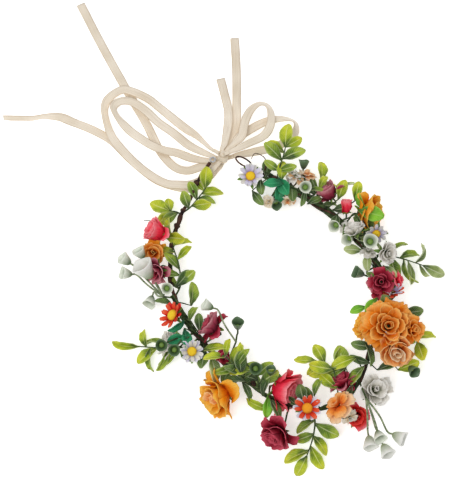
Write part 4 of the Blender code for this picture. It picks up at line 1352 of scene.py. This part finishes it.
# Loose petals and small flowers tied between the others.
LOOSE_BLOOMS = (
    small(74, -46, 17, 35, 80, (LAVENDER, CORAL), 18, 6, "petal_white", Style.DAISY),
    small(66, -40, 15, 40, 150, (PINK, BURGUNDY, PINK), 14, 8, "petal_pink"),
    small(53, 64, 11, 50, 60, (PEACH,), 15, 8, "petal_peach"),
    small(44, 66, 13, 40, 90, (WHITE,), 14, 8, "petal_white"),
    small(34, 54, 9, 60, -120, (PEACH, CREAM, PEACH), 12, 7, "petal_peach"),
    small(20, 57, 11, 50, -120, (CREAM,), 11, 6, "petal_white"),
    small(66, 14, 14, 60, -150, (WHITE,), 14, 8, "petal_white"),
    small(70, -10, 16, 40, 60, (WHITE,), 13, 8, "petal_white"),
    small(9, -115, 16, 60, -90, (WHITE, CREAM, WHITE), 14, 8, "petal_white"),
    small(-16, -97, 14, 50, -60, (WHITE, LAVENDER, WHITE), 13, 7, "petal_white"),
    small(-57, -42, 17, 50, -60, (MAUVE, BURGUNDY), 12, 8, "petal_mauve"),
    small(17, -95, 14, 60, -60, (BURGUNDY,), 13, 8, "petal_mauve"),
)


@dataclass
class Garden:
    """The maker of flowers, sprigs and bells, from the shared patterns."""

    patterns: Patterns
    vine: Vine
    wire_width: float = 1.3 * MM
    rng: random.Random = field(default_factory=lambda: random.Random(SEED))

    @staticmethod
    def tip(node: str, direction: Vector) -> Vector:
        """The middle of a CAD head's top: of the corners that many triangles share, the foremost.

        Args:
            node: The CAD node.
            direction: The way that the flower faces.

        Returns:
            The place.
        """
        mesh = frame["nodes"][node].data
        corners = Counter(tuple(round(c, 5) for c in mesh.vertices[index].co)
                          for face in mesh.polygons for index in face.vertices)
        return max((Vector(corner) for corner, count in corners.items() if count >= 6), key=direction.dot)

    def petal(self, cut: Cut, matrix: Matrix, finish: Finish) -> bpy.types.Object:
        """A copy of one of a cut's variants."""
        return Bench.copy(self.rng.choice(self.patterns.petals[cut]), matrix, finish)

    def petals(self, place: Matrix, style: Style, bloom: Bloom) -> list[bpy.types.Object]:
        """The petals of a flower, ring by ring.

        Args:
            place: The flower's own frame, +Z to its face.
            style: Its pattern.
            bloom: The flower.

        Returns:
            The petals.
        """
        radius, depth = bloom.grow * bloom.diameter / 2 * MM, bloom.depth * MM
        made = []
        for ring in style.value:
            start = self.rng.uniform(0, 360)
            for i in range(ring.count):
                angle = start + 360 * (i + self.rng.uniform(-0.18, 0.18)) / ring.count
                opening = ring.opening + self.rng.uniform(-10, 10)
                size = ring.length * radius * self.rng.uniform(0.88, 1.12)
                matrix = (place @ Matrix.Rotation(math.radians(angle), 4, "Z")
                          @ Matrix.Translation((0, -ring.radius * radius, ring.rise * depth))
                          @ Matrix.Rotation(math.radians(opening), 4, "X")
                          @ Matrix.Rotation(math.radians(self.rng.uniform(-9, 9)), 4, "Z")
                          @ Matrix.Scale(size, 4))
                paper = bloom.papers[min(ring.tone, len(bloom.papers) - 1)]
                made.append(self.petal(ring.cut, matrix, paper))
        return made

    def sepals(self, place: Matrix, bloom: Bloom) -> list[bpy.types.Object]:
        """The green cup and sepals behind a flower.

        Args:
            place: The flower's own frame, +Z to its face.
            bloom: The flower.

        Returns:
            The cup and the sepals.
        """
        radius = bloom.grow * bloom.diameter / 2 * MM
        cup = min(3.2 * MM, 0.42 * radius)
        height = 0.24 * bloom.depth * MM
        matrix = place @ Matrix.Diagonal((cup, cup, height, 1))
        made = [Bench.copy(self.patterns.calyx, matrix, BUD)]
        for i in range(5):
            angle = 72 * i + self.rng.uniform(-12, 12)
            matrix = (place @ Matrix.Rotation(math.radians(angle), 4, "Z")
                      @ Matrix.Translation((0, -0.55 * cup, 0.4 * height))
                      @ Matrix.Rotation(math.radians(self.rng.uniform(42, 78)), 4, "X")
                      @ Matrix.Scale(min(8.5 * MM, 0.85 * radius) * self.rng.uniform(0.8, 1.15), 4))
            made.append(self.petal(Cut.SEPAL, matrix, bloom.sepals))
        return made

    def flower(self, bloom: Bloom) -> None:
        """Builds a flower where its CAD head is.

        Args:
            bloom: The flower.
        """
        direction = towards(bloom.lean, bloom.faces)
        foot = self.tip(bloom.node, direction) - direction * bloom.depth * MM + Vector(bloom.shift) * MM
        place = aimed(foot, direction, self.rng.uniform(0, 360))
        pieces = self.petals(place, bloom.style, bloom)
        if bloom.lobe:
            second = replace(bloom, diameter=0.58 * bloom.diameter, depth=0.6 * bloom.depth)
            beside = aimed(foot + Vector(bloom.lobe) * MM, towards(bloom.lean + 22, bloom.faces + 62), 40)
            pieces += self.petals(beside, Style.ROSE, second)
        if bloom.flock:
            size = 0.36 * bloom.grow * bloom.diameter / 2 * MM
            matrix = place @ Matrix.Translation((0, 0, 0.60 * bloom.depth * MM)) @ Matrix.Scale(size, 4)
            pieces.append(Bench.copy(self.patterns.dome, matrix, bloom.flock))
        pieces += self.sepals(place, bloom)
        root = self.vine.nearest(foot)
        bend = foot - direction * 3 * MM
        stem = [root, (root + bend) / 2 + Vector((0, 0, MM)), bend, foot + direction * MM]
        pieces.append(Bench.wire(smooth_line(stem, 1.5 * MM), self.wire_width, STEM_WIRE))
        hand_over(Bench.join(pieces, f"bloom_{bloom.node}"), bloom.node)

    def loose(self) -> None:
        """Builds the loose petals and small flowers, one piece to each material slot."""
        slots: dict[str, list[bpy.types.Object]] = {}
        for bloom in LOOSE_BLOOMS:
            foot = Vector(bloom.shift) * MM
            place = aimed(foot, towards(bloom.lean, bloom.faces), self.rng.uniform(0, 360))
            root = self.vine.nearest(foot)
            stem = [root, (root + foot) / 2, foot + (foot - root) * 0.05]
            slots.setdefault(bloom.slot, []).extend([*self.petals(place, bloom.style, bloom),
                                                     Bench.wire(stem, self.wire_width, STEM_WIRE)])
        for slot, pieces in slots.items():
            tie_on(Bench.join(pieces, f"{slot}_loose"))


# ---------------------------------------------------------------------------------------------- foliage
@dataclass(frozen=True)
class Sprig:
    """A leafy stem. Places are in millimetres from its tie on the vine, in the crown's directions."""

    node: str
    station: float
    stem: tuple[Point, ...]
    leaves: tuple[tuple[float, float, float, Foliage], ...]   # share of stem, side in degrees, length, finish
    slim: bool = False                                        # narrow, curled leaves among the rest


def pairs(finish: Foliage, *leaves: tuple[float, float, float]) -> tuple:
    """Leaves that share a finish."""
    return tuple((*leaf, finish) for leaf in leaves)


SPRIGS = (
    Sprig("sprig_back", 0.925, ((6, 8, 4), (12, 15, 7), (16, 21, 7)),
          pairs(BRIGHT_LEAF, (1.0, 12, 19), (0.92, -48, 14), (0.80, 62, 14))
          + pairs(FRESH_LEAF, (0.55, 62, 18), (0.60, -50, 18), (0.30, -70, 12), (0.30, 80, 12))),
    Sprig("sprig_arm_inner", 0.097, ((8, 2, 1), (17, 7, 2), (24, 12, 1)),
          pairs(BRIGHT_LEAF, (0.35, -45, 15), (0.75, -40, 16), (1.0, 25, 17), (0.9, 80, 11))
          + pairs(FRESH_LEAF, (0.55, 60, 15), (0.25, 70, 12), (0.60, -60, 12))),
    Sprig("sprig_arm_outer", 0.100, ((-3, 4, -1), (-7, 7, -3)),
          pairs(BRIGHT_LEAF, (0.60, 50, 15), (1.0, -10, 17), (0.9, -60, 11))
          + pairs(FRESH_LEAF, (0.3, 60, 12))),
    Sprig("sprig_left_inner", 0.225, ((8, 8, 1), (12, 22, 3), (13, 34, 3), (15, 46, 2)),
          pairs(BRIGHT_LEAF, (0.60, -60, 14), (0.82, -70, 16), (1.0, 10, 18), (0.95, 62, 13),
                (0.70, 55, 14))
          + pairs(FRESH_LEAF, (0.25, -45, 12), (0.45, 30, 15), (0.35, 70, 12), (0.15, 60, 12))),
    Sprig("sprig_left_outer", 0.292, ((-10, -2, -3), (-26, 4, -5), (-42, 12, -6)),
          pairs(BRIGHT_LEAF, (0.72, 40, 15), (1.0, 5, 17), (0.62, -45, 14), (0.88, -60, 13))
          + pairs(FRESH_LEAF, (0.35, 45, 15), (0.50, -40, 16), (0.20, -60, 16), (0.5, 70, 16),
                  (0.8, 80, 15)),
          slim=True),
    Sprig("sprig_centre_left", 0.372, ((-2, 6, 6), (-7, 17, 8)),
          pairs(BRIGHT_LEAF, (0.90, -50, 14), (1.0, 40, 15)) + pairs(FRESH_LEAF, (0.40, -80, 15),
                                                                     (0.45, 75, 17))
          + pairs(DARK_LEAF, (0.15, 40, 13))),
    Sprig("sprig_centre", 0.400, ((2, 9, 2), (-2, 20, 5)),
          pairs(BRIGHT_LEAF, (0.75, 60, 14), (1.0, -15, 16)) + pairs(FRESH_LEAF, (0.45, -70, 15))
          + pairs(DARK_LEAF, (0.25, 60, 13))),
    Sprig("sprig_front_inner", 0.560, ((-8, 8, 1), (-16, 17, 2), (-24, 25, 1)),
          pairs(BRIGHT_LEAF, (0.60, 50, 17), (0.78, -50, 15), (1.0, 10, 17), (0.92, 70, 12))
          + pairs(FRESH_LEAF, (0.35, -55, 18), (0.30, 60, 14), (0.50, -65, 14))
          + pairs(DARK_LEAF, (0.12, 50, 14))),
    Sprig("sprig_front_outer", 0.480, ((-2, -9, -2), (-8, -19, -5), (-17, -29, -8)),
          pairs(BRIGHT_LEAF, (0.75, 50, 18), (0.85, -45, 17), (1.0, -5, 17), (0.55, 62, 15))
          + pairs(FRESH_LEAF, (0.30, 65, 17), (0.50, -60, 15), (0.20, -60, 14))),
    Sprig("sprig_right_front", 0.645, ((11, -7, -4), (19, -19, -6)),
          pairs(BRIGHT_LEAF, (0.85, 55, 17), (1.0, -40, 15)) + pairs(FRESH_LEAF, (0.55, 60, 12))
          + pairs(DARK_LEAF, (0.3, -60, 14))),
    Sprig("sprig_right", 0.750, ((9, -2, -1), (21, -10, -2), (34, -20, -5)),
          pairs(PALE_LEAF, (0.65, -65, 15), (0.80, 50, 15), (1.0, -10, 15), (0.9, -50, 12))
          + pairs(FRESH_LEAF, (0.30, 60, 14), (0.50, 50, 15), (0.35, -60, 16), (0.16, 75, 14),
                  (0.14, -40, 12),
                  (0.6, -80, 16)), slim=True),
    Sprig("sprig_right_back", 0.860, ((6, 9, 0), (13, 17, -2)),
          pairs(BRIGHT_LEAF, (0.75, -50, 14), (1.0, 10, 15)) + pairs(FRESH_LEAF, (0.50, 55, 15),
                                                                     (0.3, -60, 12))),
)


# Leaves tied straight to the vine: the middle of each in millimetres, degrees that it is swept round from
# pointing straight away from the vine, its length in millimetres and its finish.
LOOSE_LEAVES = (
    (-56, 54, 17, 30, 15, BRIGHT_LEAF), (-62, 22, 17, 40, 15, DARK_LEAF), (-59, 9, 16, 60, 17, FRESH_LEAF),
    (-65, -3, 17, 50, 15, FRESH_LEAF), (-80, 12, 15, -40, 13, DARK_LEAF), (-63, -12, 15, 60, 13, DARK_LEAF),
    (-60, -34, 21, -30, 17, BRIGHT_LEAF), (-48, -44, 19, 20, 16, BRIGHT_LEAF),
    (-65, -49, 19, 60, 18, PALE_LEAF),
    (-48, -53, 20, 40, 15, DARK_LEAF), (-43, -58, 18, 10, 15, FRESH_LEAF),
    (-56, -62, 20, -60, 15, DARK_LEAF),
    (-38, -73, 19, 30, 16, DARK_LEAF), (-33, -69, 17, -20, 15, FRESH_LEAF),
    (-50, -72, 19, 70, 14, DARK_LEAF),
    (-48, -85, 17, -70, 17, BRIGHT_LEAF), (-41, -88, 19, 30, 15, LIME), (-36, -92, 20, 60, 14, DARK_LEAF),
    (-28, -84, 19, 30, 14, DARK_LEAF), (-16, -90, 19, 20, 13, DARK_LEAF), (-24, -92, 20, 60, 13, DARK_LEAF),
    (4, -77, 21, 50, 18, BRIGHT_LEAF), (12, -83, 19, 60, 17, FRESH_LEAF),
    (21, -79, 21, 40, 18, BRIGHT_LEAF),
    (26, -90, 19, 70, 16, FRESH_LEAF), (5, -88, 19, 20, 17, BRIGHT_LEAF),
    (-4, -87, 19, -20, 16, FRESH_LEAF),
    (32, -82, 18, 10, 15, DARK_LEAF), (42, -80, 19, -50, 16, DARK_LEAF), (38, -72, 17, 20, 14, DARK_LEAF),
    (6, -112, 15, 60, 13, DARK_LEAF), (15, -101, 17, 80, 14, DARK_LEAF), (48, -92, 16, 40, 14, DARK_LEAF),
    (82, -62, 14, 10, 15, DARK_LEAF), (70, -80, 13, 30, 15, FRESH_LEAF), (63, -97, 12, 60, 15, BRIGHT_LEAF),
    (47, -46, 17, 20, 12, LIME), (56, -48, 23, 60, 13, LIME), (66, -52, 20, -60, 14, DARK_LEAF),
    (66, -29, 20, -30, 11, DARK_LEAF), (67, -15, 18, 60, 13, PALE_LEAF), (78, -29, 22, -60, 12, PALE_LEAF),
    (84, 4, 15, 20, 13, PALE_LEAF), (62, -3, 16, -40, 13, PALE_LEAF),
    (64, 14, 17, 60, 13, DARK_LEAF), (58, 22, 17, 30, 12, DARK_LEAF), (72, 16, 21, 80, 13, DARK_LEAF),
    (79, 29, 21, 80, 17, LIME), (83, 17, 21, -60, 18, LIME), (82, 38, 17, 30, 15, BRIGHT_LEAF),
    (72, 43, 19, 20, 16, BRIGHT_LEAF), (78, 47, 16, -20, 14, PALE_LEAF), (62, 55, 17, 10, 15, BRIGHT_LEAF),
    (56, 50, 19, -50, 14, FRESH_LEAF), (50, 43, 17, 40, 12, DARK_LEAF), (44, 48, 17, 30, 12, DARK_LEAF),
    (37, 73, 17, 20, 15, BRIGHT_LEAF), (33, 62, 18, 60, 15, EMERALD), (28, 66, 19, -60, 14, EMERALD),
    (38, 56, 16, 40, 13, DARK_LEAF), (18, 69, 16, 30, 12, DARK_LEAF), (-70, -38, 16, 40, 14, DARK_LEAF),
    (-80, -34, 15, -50, 15, DARK_LEAF), (-78, -11, 19, 20, 14, EMERALD),
    (-82, -20, 22, -30, 15, EMERALD), (-76, -21, 22, 60, 15, EMERALD), (29, 58, 15, 30, 14, EMERALD),
    (-70, -30, 13, 20, 14, DARK_LEAF), (-27, -76, 17, 50, 14, DARK_LEAF), (-12, -92, 16, 20, 15, DARK_LEAF),
    (-55, -45, 15, -50, 14, FRESH_LEAF), (-42, -67, 15, 70, 15, FRESH_LEAF),
    (-58, -54, 15, 10, 15, DARK_LEAF),
    (74, -2, 15, 40, 14, DARK_LEAF), (70, 5, 15, -50, 14, PALE_LEAF), (78, 10, 15, 30, 14, DARK_LEAF),
    (66, 30, 15, -40, 13, DARK_LEAF), (52, 55, 14, 60, 14, DARK_LEAF), (60, 38, 14, -30, 13, DARK_LEAF),
    (28, 80, 15, 20, 14, DARK_LEAF), (12, 62, 15, 60, 13, DARK_LEAF), (76, -44, 16, 60, 14, DARK_LEAF),
)


@dataclass(frozen=True)
class Cluster:
    """Bells or berries on wires that share a tie; places are in millimetres from the tie."""

    node: str
    station: float
    fork: Point
    heads: tuple[tuple[Point, float, float, float, Moulded], ...]   # foot, lean, faces, diameter, finish
    slot: str = "bell"


CLUSTERS = (
    Cluster("bells_left", 0.225, (-7, 4, 0), (
        ((-10, 35, 5), 50, 110, 9, BELL), ((-20, 36, 1), 60, 130, 9.5, BELL),
        ((-22, 28, 1), 62, 160, 9, BELL),
        ((-10, 19, 5), 48, 115, 15, BLUE_BELL), ((-14, 8, -2), 75, 230, 9, BELL),
        ((-3, 7, 6), 20, -100, 8, BELL))),
    Cluster("bells_centre", 0.345, (12, 12, 2.4), (
        ((5, 38, 14), 70, 140, 8.5, BELL), ((17, 21, 0), 30, 68, 8.5, BERRY))),
    Cluster("berries_left", 0.283, (-7, 0, 5), (
        ((-26, -2, 11), 20, -112, 8, BERRY), ((-19, -9, 12), 20, -112, 8, BERRY)), "berry"),
    Cluster("bells_front", 0.558, (-2, -15, 9), (
        ((-9, -38, -4), 80, -105, 10.5, BLUE_BELL), ((-2, -47, -5), 80, -88, 10.5, BLUE_BELL),
        ((7, -43, -4), 80, -52, 10.5, BLUE_BELL), ((-3, -38, 1), 66, -95, 9, BELL))),
    Cluster("bells_back", 0.884, (4, 4, 6), (((9, 19, -1), 60, 60, 7.5, BERRY),
                                             ((3, 2, 8), 20, -112, 8.5, BELL))),
    Cluster("bell_inner", 0.735, (-7, -1, 0), (((-12, -3, 0), 60, 150, 8.5, BERRY),)),
)


# Cups tied straight to the vine: place in millimetres, lean, way it faces, diameter, finish.
LOOSE_CUPS = (
    (58, 19, 18, 40, -150, 8.5, BELL), (74, -3, 20, 15, -112, 10, BELL), (64, 6, 17, 50, -160, 8.5, BELL),
    (-39, -60, 19, 15, -112, 8.5, BERRY), (-31, -68, 18, 30, 60, 7, BERRY),
    (64, -98, 12, 60, -80, 8.5, BERRY),
    (24, 55, 13, 60, -100, 7.5, BERRY),
)


@dataclass
class Foliages(Garden):
    """The leaf sprigs and the bells."""

    def leaf(self, foot: Vector, direction: Vector, length: float, finish: Foliage,
             slim: bool = False) -> bpy.types.Object:
        """One leaf, its upper side up.

        Args:
            foot: Where it starts.
            direction: Where it points.
            length: In metres.
            finish: Its finish.
            slim: Whether it may be a narrow one.

        Returns:
            The leaf.
        """
        across = direction.cross(Vector((0, 0, 1))).normalized()
        turn = Matrix((across, -across.cross(direction), direction)).transposed().to_4x4()
        roll = Matrix.Rotation(math.radians(self.rng.uniform(-30, 30)), 4, "Z")
        matrix = Matrix.Translation(foot) @ turn @ roll @ Matrix.Scale(length, 4)
        choice = self.patterns.leaves[3:] if slim else self.patterns.leaves[:5]
        return Bench.copy(self.rng.choice(choice), matrix, finish)

    def loose_leaves(self) -> None:
        """Builds the leaves tied straight to the vine, each on its own short stalk."""
        pieces = []
        for x, y, z, sweep, length, finish in LOOSE_LEAVES:
            middle = Vector((x, y, z)) * MM
            root = self.vine.nearest(middle)
            away = Vector((middle.x - root.x, middle.y - root.y, 0)).normalized()
            direction = Matrix.Rotation(math.radians(sweep), 3, "Z") @ away
            direction.z = self.rng.uniform(-0.1, 0.3)
            direction.normalize()
            foot = middle - direction * length / 2 * MM
            line = [root, (root + foot) / 2 + Vector((0, 0, 0.8 * MM)), foot, foot + direction * MM]
            pieces.append(Bench.wire(line, MM, STEM_WIRE, 1))
            pieces.append(self.leaf(foot, direction, 1.08 * length * MM, finish))
        tie_on(Bench.join(pieces, "leaves_loose"))

    def loose_cups(self) -> None:
        """Builds the cups tied straight to the vine."""
        pieces = []
        for x, y, z, lean, faces, diameter, finish in LOOSE_CUPS:
            place = Vector((x, y, z)) * MM
            root = self.vine.nearest(place)
            pieces += self.cup(place, root, towards(lean, faces), diameter, finish, STEM_WIRE)
        tie_on(Bench.join(pieces, "cups_loose"))

    def cup(self, place: Vector, root: Vector, direction: Vector, diameter: float, finish: Moulded,
            wire: Bark) -> list[bpy.types.Object]:
        """A cup on its wire.

        Args:
            place: The cup's foot.
            root: Where the wire starts.
            direction: The way that the cup opens.
            diameter: In millimetres.
            finish: Of the cup.
            wire: Finish of the wire.

        Returns:
            The wire, the cup and its heart.
        """
        line = smooth_line([root, (root + place) / 2 + Vector((0, 0, 1)) * MM, place - direction * 4 * MM,
                            place + direction * 0.5 * MM], 1.2 * MM)
        thick = (0.9 + 0.05 * diameter) * MM
        size = Matrix.Diagonal((diameter / 2 * MM, diameter / 2 * MM, 0.85 * diameter * MM, 1))
        outside = aimed(place, direction, self.rng.uniform(0, 60)) @ size
        inside = aimed(place + direction * 0.24 * diameter * MM, direction)
        heart = inside @ Matrix.Scale(0.26 * diameter * MM, 4)
        return [Bench.wire(line, thick, wire), Bench.copy(self.patterns.bell, outside, finish),
                Bench.copy(self.patterns.dome, heart, BUD)]

    def sprig(self, plan: Sprig) -> None:
        """Builds a stem with its leaves.

        Args:
            plan: The sprig.
        """
        tie = self.vine.point(plan.station)
        stops = [tie] + [tie + Vector(point) * MM for point in plan.stem]
        line = [Vector(point) for point in smooth_line(stops, 1.5 * MM)]
        widths = [(1.5 - 0.7 * i / len(line)) * MM for i in range(len(line))]
        pieces = [Bench.wire(line, widths, STEM_WIRE)]
        for share, side, length, finish in plan.leaves:
            place = min(round(share * (len(line) - 1)), len(line) - 2)
            ahead = (line[place + 1] - line[place]).normalized()
            direction = Matrix.Rotation(math.radians(side + self.rng.uniform(-6, 6)), 3, "Z") @ ahead
            direction.z += self.rng.uniform(-0.05, 0.25)
            direction.normalize()
            size = (1.2 if plan.slim else 1.0) * length * MM * self.rng.uniform(1.0, 1.16)
            pieces.append(self.leaf(line[place], direction, size, finish, plan.slim))
        hand_over(Bench.join(pieces, f"leaves_{plan.node}"), plan.node)

    def cluster(self, plan: Cluster) -> None:
        """Builds the bells or berries of one tie.

        Args:
            plan: The cluster.
        """
        tie = self.vine.point(plan.station)
        fork = tie + Vector(plan.fork) * MM
        pieces = [Bench.wire([tie, (tie + fork) / 2, fork], self.wire_width, STEM_WIRE)]
        for foot, lean, faces, diameter, finish in plan.heads:
            wire = PALE_WIRE if finish in (BELL, BLUE_BELL) else STEM_WIRE
            pieces += self.cup(tie + Vector(foot) * MM, fork, towards(lean, faces), diameter, finish, wire)
        hand_over(Bench.join(pieces, f"cups_{plan.node}"), plan.node)


# ------------------------------------------------------------------------------------------------ stage
@dataclass(frozen=True)
class Stage:
    """The floor, the soft light and the camera."""

    distance: float = 1.25
    azimuth: float = -22.0
    elevation: float = 70.0
    target: Point = (-0.02421, 0.03429, 0.012)
    lens: float = 124.03

    def floor(self) -> None:
        """A plain white sweep under the crown."""
        made = Bench.added(bpy.ops.mesh.primitive_plane_add, size=30, location=(0, 0, -0.2 * MM))
        Bench.settle(made)
        made.name = "floor"
        recipe = Recipe("floor_white", 0.9, Specular_IOR_Level=0.0)
        recipe.shader.inputs["Base Color"].default_value = (0.92, 0.92, 0.92, 1)
        recipe.shader.inputs["Emission Color"].default_value = (1, 1, 1, 1)
        recipe.shader.inputs["Emission Strength"].default_value = 0.5
        made.data.materials.append(recipe.material)

    def lights(self) -> None:
        """Three large soft lights and an even white surround."""
        world = bpy.data.worlds.new("surround")
        world.use_nodes = True
        world.node_tree.nodes["Background"].inputs["Color"].default_value = (1, 1, 1, 1)
        world.node_tree.nodes["Background"].inputs["Strength"].default_value = 0.45
        bpy.context.scene.world = world
        for place, size, power in (((-0.7, -0.3, 1.3), 0.8, 9.0), ((0.9, 0.3, 1.2), 1.0, 3.0),
                                   ((0.0, 1.0, 1.1), 1.0, 3.0)):
            light = Bench.added(bpy.ops.object.light_add, type="AREA", location=place)
            light.data.size = size
            light.data.energy = power
            light.rotation_mode = "QUATERNION"
            light.rotation_quaternion = Vector(place).to_track_quat("Z", "Y")

    def camera(self) -> None:
        """The camera, looking down at the crown from the front left."""
        a, e = math.radians(self.azimuth), math.radians(self.elevation)
        back = Vector((math.sin(a) * math.cos(e), -math.cos(a) * math.cos(e), math.sin(e)))
        camera = Bench.added(bpy.ops.object.camera_add, location=Vector(self.target) + back * self.distance)
        camera.rotation_mode = "QUATERNION"
        camera.rotation_quaternion = (-back).to_track_quat("-Z", "Y")
        camera.data.lens = self.lens
        camera.data.sensor_width = 36
        camera.data.clip_start = 0.01
        bpy.context.scene.camera = camera

    def build(self) -> None:
        """Sets the stage."""
        self.floor()
        self.lights()
        self.camera()
        bpy.context.scene.view_settings.view_transform = "Standard"


def main() -> None:
    """Builds the crown in the order of its making."""
    logging.basicConfig(level=logging.INFO, format="%(name)s: %(message)s")
    Stage().build()
    Bow().build()
    vine = Vine()
    vine.build()
    patterns = Patterns()
    garden = Foliages(patterns, vine)
    for bloom in BLOOMS:
        garden.flower(bloom)
    garden.loose()
    garden.loose_leaves()
    garden.loose_cups()
    for sprig in SPRIGS:
        garden.sprig(sprig)
    for cluster in CLUSTERS:
        garden.cluster(cluster)


if __name__ == "__main__":
    main()
